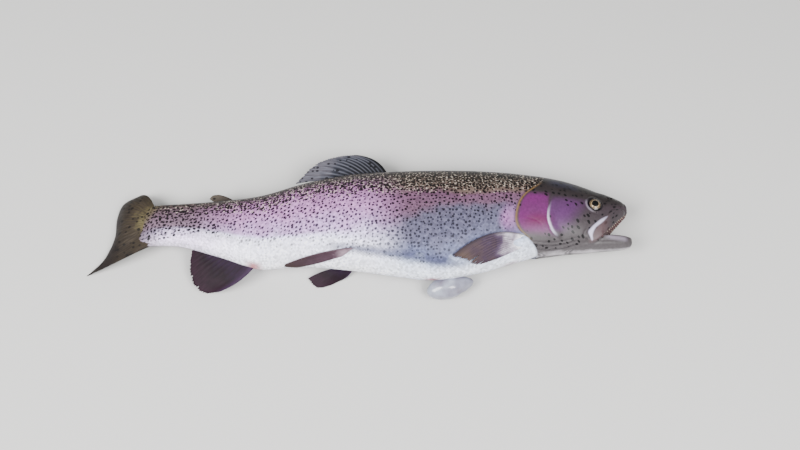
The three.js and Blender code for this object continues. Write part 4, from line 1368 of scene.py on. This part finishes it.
# Each finish: colours from the root to the edge, the colour of the rays and of the
# leading edge, how much earlier (or later) the colours come at the rear, and the share
# of spots.
FIN_FINISHES = {
    "grey_web": (((0.1, "131315"), (0.48, "18191E"), (0.75, "292A32"), (1.0, "504D54")),
                 "6A6B76", "0C0C0E", 0.45, 0.35),
    "fatty_fin": (((0.1, "2A2624"), (0.5, "3A3430"), (0.95, "4C453E")), "3A3430", "2A2624",
                  0.0, 0.4),
    "plum_web": (((0.0, "5C4A62"), (0.14, "1E0E24"), (0.5, "12050F"), (0.95, "24121E")),
                 "170811", "301E36", 0.0, 0.0),
    "tail_web": (((0.03, "5A5238"), (0.27, "352E24"), (0.9, "1B1615")), "302926", "2A241C",
                 0.3, 0.45),
    "rosy_web": (((0.0, "8A7682"), (0.3, "3E2B36"), (0.7, "2D1E26"), (0.97, "2E2320")),
                 "3C2E34", "56454D", 0.0, 0.0),
    "brown_web": (((0.1, "F0EEF4"), (0.2, "BEB8C6"), (0.32, "7C7280"), (0.45, "45384E"),
                   (0.62, "2F2233"), (0.97, "44362F")), "483B40", "2A222A", -0.3, 0.0),
}


# ---- Eyes --------------------------------------------------------------------

PUPIL_FORWARD = 0.3  # the pupil lies this far before the eyeball's middle
IRIS_FLAT = 0.55  # how far the iris lies under the curve of the ball
LENS_BULGE = 0.15
IRIS_MOTTLE = 0.9  # waves a mm: flecks of about 1 mm
IRIS_FIBRES = 7.0  # about 44 streaks round the pupil, coarser than the real ones
BEHIND_EYE = 12.0  # the radius told to the eyeball's back, past all the eye's rings


def eyeball(side, material):
    """An eyeball with one pole turned outwards and its marks measured from the pupil."""
    centre = to_frame(EYE_AT, EYE_HEIGHT, middle_at(EYE_AT) + side * EYE_SIDE)
    ball = start_with(bpy.ops.mesh.primitive_uv_sphere_add, segments=72, ring_count=48,
                      radius=EYE_RADIUS * MM, location=centre)
    bpy.ops.object.transform_apply(location=True, rotation=True, scale=True)
    away = places_of(ball.data) / MM - centre / MM
    outwards = away[:, 2] * side
    # The front is fuller than a ball, so that its rim comes up to the lids. The lens
    # bulges out of the pupil, and the iris is flat.
    off = np.hypot(away[:, 0], away[:, 1])
    full = EYE_RADIUS * np.sqrt(np.clip(1 - (off / EYE_RADIUS) ** 3, 0, 1))
    away[:, 2] = np.where(outwards > 0, side * full, away[:, 2])
    x, y = away[:, 0] - PUPIL_FORWARD, away[:, 1]
    radius = np.hypot(x, y)
    pupil = chosen("pupil")
    front = outwards > 0
    flat = IRIS_FLAT * smooth(radius, pupil, pupil + 0.8) * fade(radius, 5.2, 7.0)
    lens = LENS_BULGE * fade(radius, 0.2, pupil)
    away[:, 2] += np.where(front, side * (lens - flat), 0)
    ball.data.vertices.foreach_set("co", ((away + centre / MM) * MM).ravel())
    set_marks(ball.data, {"gaze": (x, y, np.where(front, radius, BEHIND_EYE))})
    bpy.ops.object.shade_smooth()
    return name_piece(ball, "eye_ball_right" if side > 0 else "eye_ball_left", material)


def wet_eye():
    """A clear wet cornea over a gold iris."""
    # A black pupil in a mottled gold ring, under a sharp wet glint.
    material, tree, output = new_material("wet cornea over a gold iris")
    iris, pupil = chosen("iris"), chosen("pupil")
    gaze = node(tree, "Attribute", out="Vector", attribute_name="gaze")
    radius = node(tree, "SeparateXYZ", {0: gaze}).node.outputs[2]
    flat = node(tree, "VectorMath", {0: gaze, 1: (1.0, 1.0, 0.0)}, operation="MULTIPLY")
    around = node(tree, "VectorMath", {0: flat}, operation="NORMALIZE")
    mottle = node(tree, "TexNoise", {"Vector": flat, "Scale": IRIS_MOTTLE, "Detail": 4.0})
    streak = node(tree, "TexNoise", {"Vector": around, "Scale": IRIS_FIBRES, "Detail": 3.0})
    full = iris + 2.0  # the colours run on past the iris
    share = node(tree, "MapRange", {0: radius, 1: 0.0, 2: full})
    rings = node(tree, "ValToRGB", {"Fac": share}, stops=(
        (0.0, "020202"), (pupil / full, "020202"), ((pupil + 0.3) / full, "BCA27C"),
        ((pupil + 0.8) / full, "8A7050"), ((iris - 0.7) / full, "6A5A46"),
        (iris / full, "2C2624"), ((iris + 0.6) / full, "121014"), (1.0, "1E1B20")))
    between = node(tree, "MapRange", {0: mottle, 1: 0.42, 2: 0.6, 3: 0.25, 4: 1.1})
    fine = node(tree, "MapRange", {0: streak, 1: 0.35, 2: 0.65, 3: 0.8, 4: 1.1})
    dim = node(tree, "Math", {0: between, 1: fine}, operation="MULTIPLY")
    colour = node(tree, "VectorMath", {0: rings, "Scale": dim}, operation="SCALE")
    shader = node(tree, "BsdfPrincipled", {
        "Base Color": colour, "Metallic": 0.2, "Roughness": 0.45, "IOR": 1.33,
        "Coat Weight": 0.4, "Coat Roughness": 0.02})
    tree.links.new(shader, output.inputs["Surface"])
    return material


# ---- Mouth -------------------------------------------------------------------

# The teeth of each jaw: how far behind the snout they stand, on what outline, which of
# every two is the lesser, how far inside the lip, and which way they lean.
TEETH = {
    "upper_teeth": ((1.4, 5, 8, 10, 12, 14, 16, 18, 20, 22, 24, 26.5), on_upper_jaw, 1, 1.9,
                    (0.6, -1, -0.15)),
    "lower_teeth": ((2.8, 4.5, 6.5, 8.5, 10.8, 13, 15.5, 18, 20.5, 23), on_lower_jaw, 0, 1.2,
                    (-0.15, 1, -0.15)),
}
TOOTH_CLOUD = 900.0  # waves a metre: 1.1 mm, about the length of a tooth
TOOTH_ROOT = 1.0  # how deep a tooth stands in the gum
TOOTH_FOOT = 0.5  # its radius at the root
TOOTH_TIP = 0.06  # and at the tip
TOOTH_HOOK = 0.35  # how far its tip bends over
LESSER_TOOTH = 0.75  # size of every second tooth, as a share of its neighbours'


def make_teeth(name, material):
    """The teeth of one jaw: one curved cone, copied along both sides of the lip."""
    places, outline, lesser, inset, lean = TEETH[name]
    long = chosen("tooth") + TOOTH_ROOT
    model = start_with(bpy.ops.mesh.primitive_cone_add, vertices=10, depth=long * MM,
                       radius1=TOOTH_FOOT * MM, radius2=TOOTH_TIP * MM, location=(0, 0, 0))
    edit_mesh((bpy.ops.mesh.subdivide, {"number_cuts": 2, "smoothness": 0}))
    for vertex in model.data.vertices:
        share = vertex.co.z / (long * MM) + 0.5
        vertex.co.y += TOOTH_HOOK * MM * share ** 2
        vertex.co.z += (long / 2 - TOOTH_ROOT) * MM
    teeth = []
    for number, at in enumerate(places):
        size = LESSER_TOOTH if number % 2 == lesser else 1.0
        for side in (1, -1):
            height, right = outline(at, side * CORNER_ANGLE)
            root = to_frame(at, height, middle_at(at) + right - side * inset)
            copy = model.copy()
            copy.data = model.data.copy()
            bpy.context.scene.collection.objects.link(copy)
            direction = Vector((lean[0], lean[1], lean[2] * side))
            turn = direction.to_track_quat("Z", "Y").to_matrix().to_4x4()
            copy.data.transform(Matrix.Translation(root) @ turn @ Matrix.Scale(size, 4))
            teeth.append(copy)
    bpy.data.objects.remove(model)
    return name_piece(weld(teeth), name, material)


TONGUE_CLOUD = 500.0  # waves a metre: 2 mm, coarser than the tongue's real bumps
TONGUE_AT = 31.0
TONGUE_HEIGHT = -20.0
TONGUE_HALF = (15, 2.8, 5)  # along it, through it and across it


def make_tongue(material):
    """The tongue: a flattened ball with a groove along it, rising to its tip."""
    centre = to_frame(TONGUE_AT, TONGUE_HEIGHT, middle_at(TONGUE_AT))
    tongue = start_with(bpy.ops.mesh.primitive_uv_sphere_add, segments=40, ring_count=24,
                        radius=1, location=centre, scale=[half * MM for half in TONGUE_HALF])
    bpy.ops.object.transform_apply(location=True, rotation=True, scale=True)
    for vertex in tongue.data.vertices:
        across = (vertex.co.z - centre[2]) / MM
        forward = (vertex.co.x - centre[0]) / MM
        if vertex.co.y > centre[1]:
            vertex.co.y -= 0.7 * MM * float(bump(across, 0, 2.4))
        vertex.co.y += 1.2 * MM * float(smooth(forward, 2, 15))
    bpy.ops.object.shade_smooth()
    return name_piece(tongue, "tongue_flesh", material)


def moist_flesh(name, light, dark, scale):
    """Wet naked flesh."""
    # Soft clouds of two colours under a film that glints.
    material, tree, output = new_material(name)
    object_place = node(tree, "TexCoord", out="Object")
    cloud = node(tree, "TexNoise", {"Vector": object_place, "Scale": scale, "Detail": 4.0})
    colour = node(tree, "ValToRGB", {"Fac": cloud}, stops=((0.35, dark), (0.65, light)))
    relief = node(tree, "Bump", {"Strength": 0.3, "Distance": 0.0004, "Height": cloud},
                  out="Normal")
    shader = node(tree, "BsdfPrincipled", {
        "Base Color": colour, "Roughness": 0.3, "IOR": 1.4, "Coat Weight": 0.7,
        "Coat Roughness": 0.08, "Normal": relief})
    tree.links.new(shader, output.inputs["Surface"])
    return material


def enamel():
    """Tooth enamel."""
    # Ivory, hard and glossy, a little darker here and there.
    material, tree, output = new_material("ivory tooth enamel")
    object_place = node(tree, "TexCoord", out="Object")
    cloud = node(tree, "TexNoise", {"Vector": object_place, "Scale": TOOTH_CLOUD})
    colour = node(tree, "ValToRGB", {"Fac": cloud}, stops=((0.3, "B4A68C"), (0.7, "DDD2BC")))
    shader = node(tree, "BsdfPrincipled", {
        "Base Color": colour, "Roughness": 0.2, "IOR": 1.6, "Coat Weight": 0.3})
    tree.links.new(shader, output.inputs["Surface"])
    return material


# ---- Stomach lobe ------------------------------------------------------------

LOBE_CLOUD = 60.0  # waves a metre: 17 mm
LOBE_AT = 189.0
LOBE_HEIGHT = -63.5
LOBE_OVER_GROUND = 12.0
LOBE_HALF = (25.0, 12.0, 12.5)  # along it, across it and over the ground
LOBE_TURN = math.radians(15)


def make_lobe(material):
    """The lobe of stomach: a smooth sac, narrower at its front end."""
    lobe = start_with(bpy.ops.mesh.primitive_uv_sphere_add, segments=64, ring_count=40,
                      radius=MM)
    for vertex in lobe.data.vertices:
        x, y, z = vertex.co / MM
        # It tapers forwards, and shallow creases run round it.
        taper = 1 - 0.28 * smooth(x, -0.1, 1.0)
        crease = 1 - 0.05 * bump(x, 0.35, 0.18) + 0.03 * math.sin(9 * z + 3 * x)
        x, y, z = (x * LOBE_HALF[0], y * LOBE_HALF[1] * taper * crease,
                   z * LOBE_HALF[2] * taper * crease)
        turned = (x * math.cos(LOBE_TURN) - y * math.sin(LOBE_TURN),
                  x * math.sin(LOBE_TURN) + y * math.cos(LOBE_TURN))
        over = LOBE_OVER_GROUND + z - LOBE_HALF[2] * 0.04 * smooth(x, 0, 20)
        vertex.co = to_frame(LOBE_AT - turned[0], LOBE_HEIGHT + turned[1], over)
    bpy.ops.object.shade_smooth()
    return name_piece(lobe, "stomach_sac", material)


# ---- Stage -------------------------------------------------------------------

CAMERA_AIM = (241.0, 0.0, 28.0)  # at, height and height over the ground
CAMERA_AWAY = 943.0
CAMERA_ELEVATION = math.radians(63)
CAMERA_WIDTH = math.radians(48)
SENSOR = 36.0

# The lights' places and the points that they face, in metres, and their watts.
LIGHTS = {
    "left_light": ((-1.1, -0.8, 1.5), (-0.1, 0, 0), 78),
    "right_light": ((0.9, -0.9, 1.5), (0.1, 0, 0), 64),
    "back_light": ((-0.2, 1.4, 1.2), (0, 0, 0), 3),
}
LIGHT_SIZE = 1.0
WORLD_STRENGTH = 0.25


def area_light(name, location, aim, watts):
    """A square soft light that faces a point."""
    lamp = bpy.data.lights.new(name, "AREA")
    lamp.shape = "SQUARE"
    lamp.size = LIGHT_SIZE
    lamp.energy = watts
    light = bpy.data.objects.new(name, lamp)
    bpy.context.scene.collection.objects.link(light)
    light.location = location
    light.rotation_euler = (Vector(aim) - Vector(location)).to_track_quat("-Z", "Y").to_euler()


def point_camera():
    """The camera, at the height and distance that the fish is seen from."""
    lens = bpy.data.cameras.new("view_lens")
    lens.sensor_width = SENSOR
    lens.lens = SENSOR / 2 / math.tan(CAMERA_WIDTH / 2)
    lens.clip_start = 0.01
    camera = bpy.data.objects.new("view_camera", lens)
    bpy.context.scene.collection.objects.link(camera)
    at, height, over_ground = CAMERA_AIM
    target = Vector(((SNOUT_X - at) * MM, (AXIS_Y + height) * MM, over_ground * MM))
    back = Vector((0, -math.cos(CAMERA_ELEVATION), math.sin(CAMERA_ELEVATION)))
    camera.location = target + back * CAMERA_AWAY * MM
    camera.rotation_euler = (-back).to_track_quat("-Z", "Y").to_euler()
    bpy.context.scene.camera = camera


def plain_floor():
    """Smooth matt studio floor: pale and even."""
    colour = bpy.context.scene.trout_colours.floor
    material, tree, output = new_material("matt studio floor")
    shader = node(tree, "BsdfPrincipled", {"Base Color": (*colour, 1), "Roughness": 0.85})
    tree.links.new(shader, output.inputs["Surface"])
    floor = start_with(bpy.ops.mesh.primitive_plane_add, size=6, location=(0, 0, 0))
    return name_piece(floor, "studio_floor", material)


# ---- Operators ---------------------------------------------------------------

FLESH = ("head", "lower_jaw", "maxilla_right", "maxilla_left", "gill_cover_right",
         "gill_cover_left", "trunk_front", "trunk_middle", "trunk_rear", "caudal_peduncle")


class TROUT_OT_skin(bpy.types.Operator):
    """Makes the skin of head, jaws, mouth and trunk"""

    bl_idname = "trout.skin"
    bl_label = "Skin"

    def execute(self, context):
        skin = name_piece(make_skin(), "skin", bare_skin())
        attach(skin, "root")
        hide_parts(*FLESH)
        return {"FINISHED"}


class TROUT_OT_scales(bpy.types.Operator):
    """Makes the coat of scales, in pieces from shoulder to tail"""

    bl_idname = "trout.scales"
    bl_label = "Scales"

    def execute(self, context):
        material = wet_scales()
        for zone in SCALE_ZONES:
            scales = make_scales(zone, material)
            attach(scales, "root")
        return {"FINISHED"}


class TROUT_OT_fins(bpy.types.Operator):
    """Makes the eight fins, with their rays and webs"""

    bl_idname = "trout.fins"
    bl_label = "Fins"

    def execute(self, context):
        finishes = {name: fin_web(name.replace("_", " "), *values)
                    for name, values in FIN_FINISHES.items()}
        for name, fin in FINS.items():
            piece = make_fin(name + "_web", fin, finishes[fin["finish"]])
            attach(piece, "root")
            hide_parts(name)
        return {"FINISHED"}


class TROUT_OT_eyes(bpy.types.Operator):
    """Makes both eyeballs"""

    bl_idname = "trout.eyes"
    bl_label = "Eyes"

    def execute(self, context):
        material = wet_eye()
        for side, cad_node in ((1, "eye_right"), (-1, "eye_left")):
            ball = eyeball(side, material)
            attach(ball, "root")
            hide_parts(cad_node)
        return {"FINISHED"}


class TROUT_OT_mouth(bpy.types.Operator):
    """Makes the tongue and the teeth of both jaws"""

    bl_idname = "trout.mouth"
    bl_label = "Mouth"

    def execute(self, context):
        tongue = make_tongue(moist_flesh("moist tongue", "C9A0A0", "8E6268", TONGUE_CLOUD))
        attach(tongue, "root")
        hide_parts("tongue")
        ivory = enamel()
        for name in TEETH:
            teeth = make_teeth(name, ivory)
            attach(teeth, "root")
        return {"FINISHED"}


class TROUT_OT_stomach(bpy.types.Operator):
    """Makes the lobe of stomach beside the belly"""

    bl_idname = "trout.stomach"
    bl_label = "Stomach lobe"

    def execute(self, context):
        lobe = make_lobe(moist_flesh("moist stomach wall", "9296A4", "6A6474", LOBE_CLOUD))
        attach(lobe, "root")
        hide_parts("stomach_lobe")
        return {"FINISHED"}


class TROUT_OT_stage(bpy.types.Operator):
    """Sets up the floor, the lights and the camera"""

    bl_idname = "trout.stage"
    bl_label = "Stage"

    def execute(self, context):
        plain_floor()
        world = bpy.data.worlds.new("studio_air")
        world.use_nodes = True
        background = world.node_tree.nodes["Background"]
        background.inputs["Color"].default_value = (*linear("E4E8EE"), 1)
        background.inputs["Strength"].default_value = WORLD_STRENGTH
        context.scene.world = world
        for name, light in LIGHTS.items():
            area_light(name, *light)
        point_camera()
        return {"FINISHED"}


class TROUT_PT_panel(bpy.types.Panel):
    """Lists the pieces of the trout and what can be changed in them"""

    bl_idname = "TROUT_PT_panel"
    bl_label = "Rainbow Trout"
    bl_space_type = "VIEW_3D"
    bl_region_type = "UI"
    bl_category = "Trout"

    def draw(self, context):
        for group in (context.scene.trout_sizes, context.scene.trout_colours):
            for name in group.__annotations__:
                self.layout.prop(group, name)
        for operator in OPERATORS:
            self.layout.operator(operator.bl_idname)


OPERATORS = (TROUT_OT_skin, TROUT_OT_scales, TROUT_OT_fins, TROUT_OT_eyes, TROUT_OT_mouth,
             TROUT_OT_stomach, TROUT_OT_stage)
CLASSES = (TroutSizes, TroutColours, *OPERATORS, TROUT_PT_panel)


def register():
    """Registers the classes and the settings that the sidebar shows."""
    for made in CLASSES:
        bpy.utils.register_class(made)
    bpy.types.Scene.trout_sizes = PointerProperty(type=TroutSizes)
    bpy.types.Scene.trout_colours = PointerProperty(type=TroutColours)


def unregister():
    """Takes the settings and the classes away again."""
    del bpy.types.Scene.trout_colours
    del bpy.types.Scene.trout_sizes
    for made in reversed(CLASSES):
        bpy.utils.unregister_class(made)


def main():
    """Builds every piece and the stage."""
    register()
    for operator in OPERATORS:
        family, name = operator.bl_idname.split(".")
        getattr(getattr(bpy.ops, family), name)()


if __name__ == "__main__":
    main()
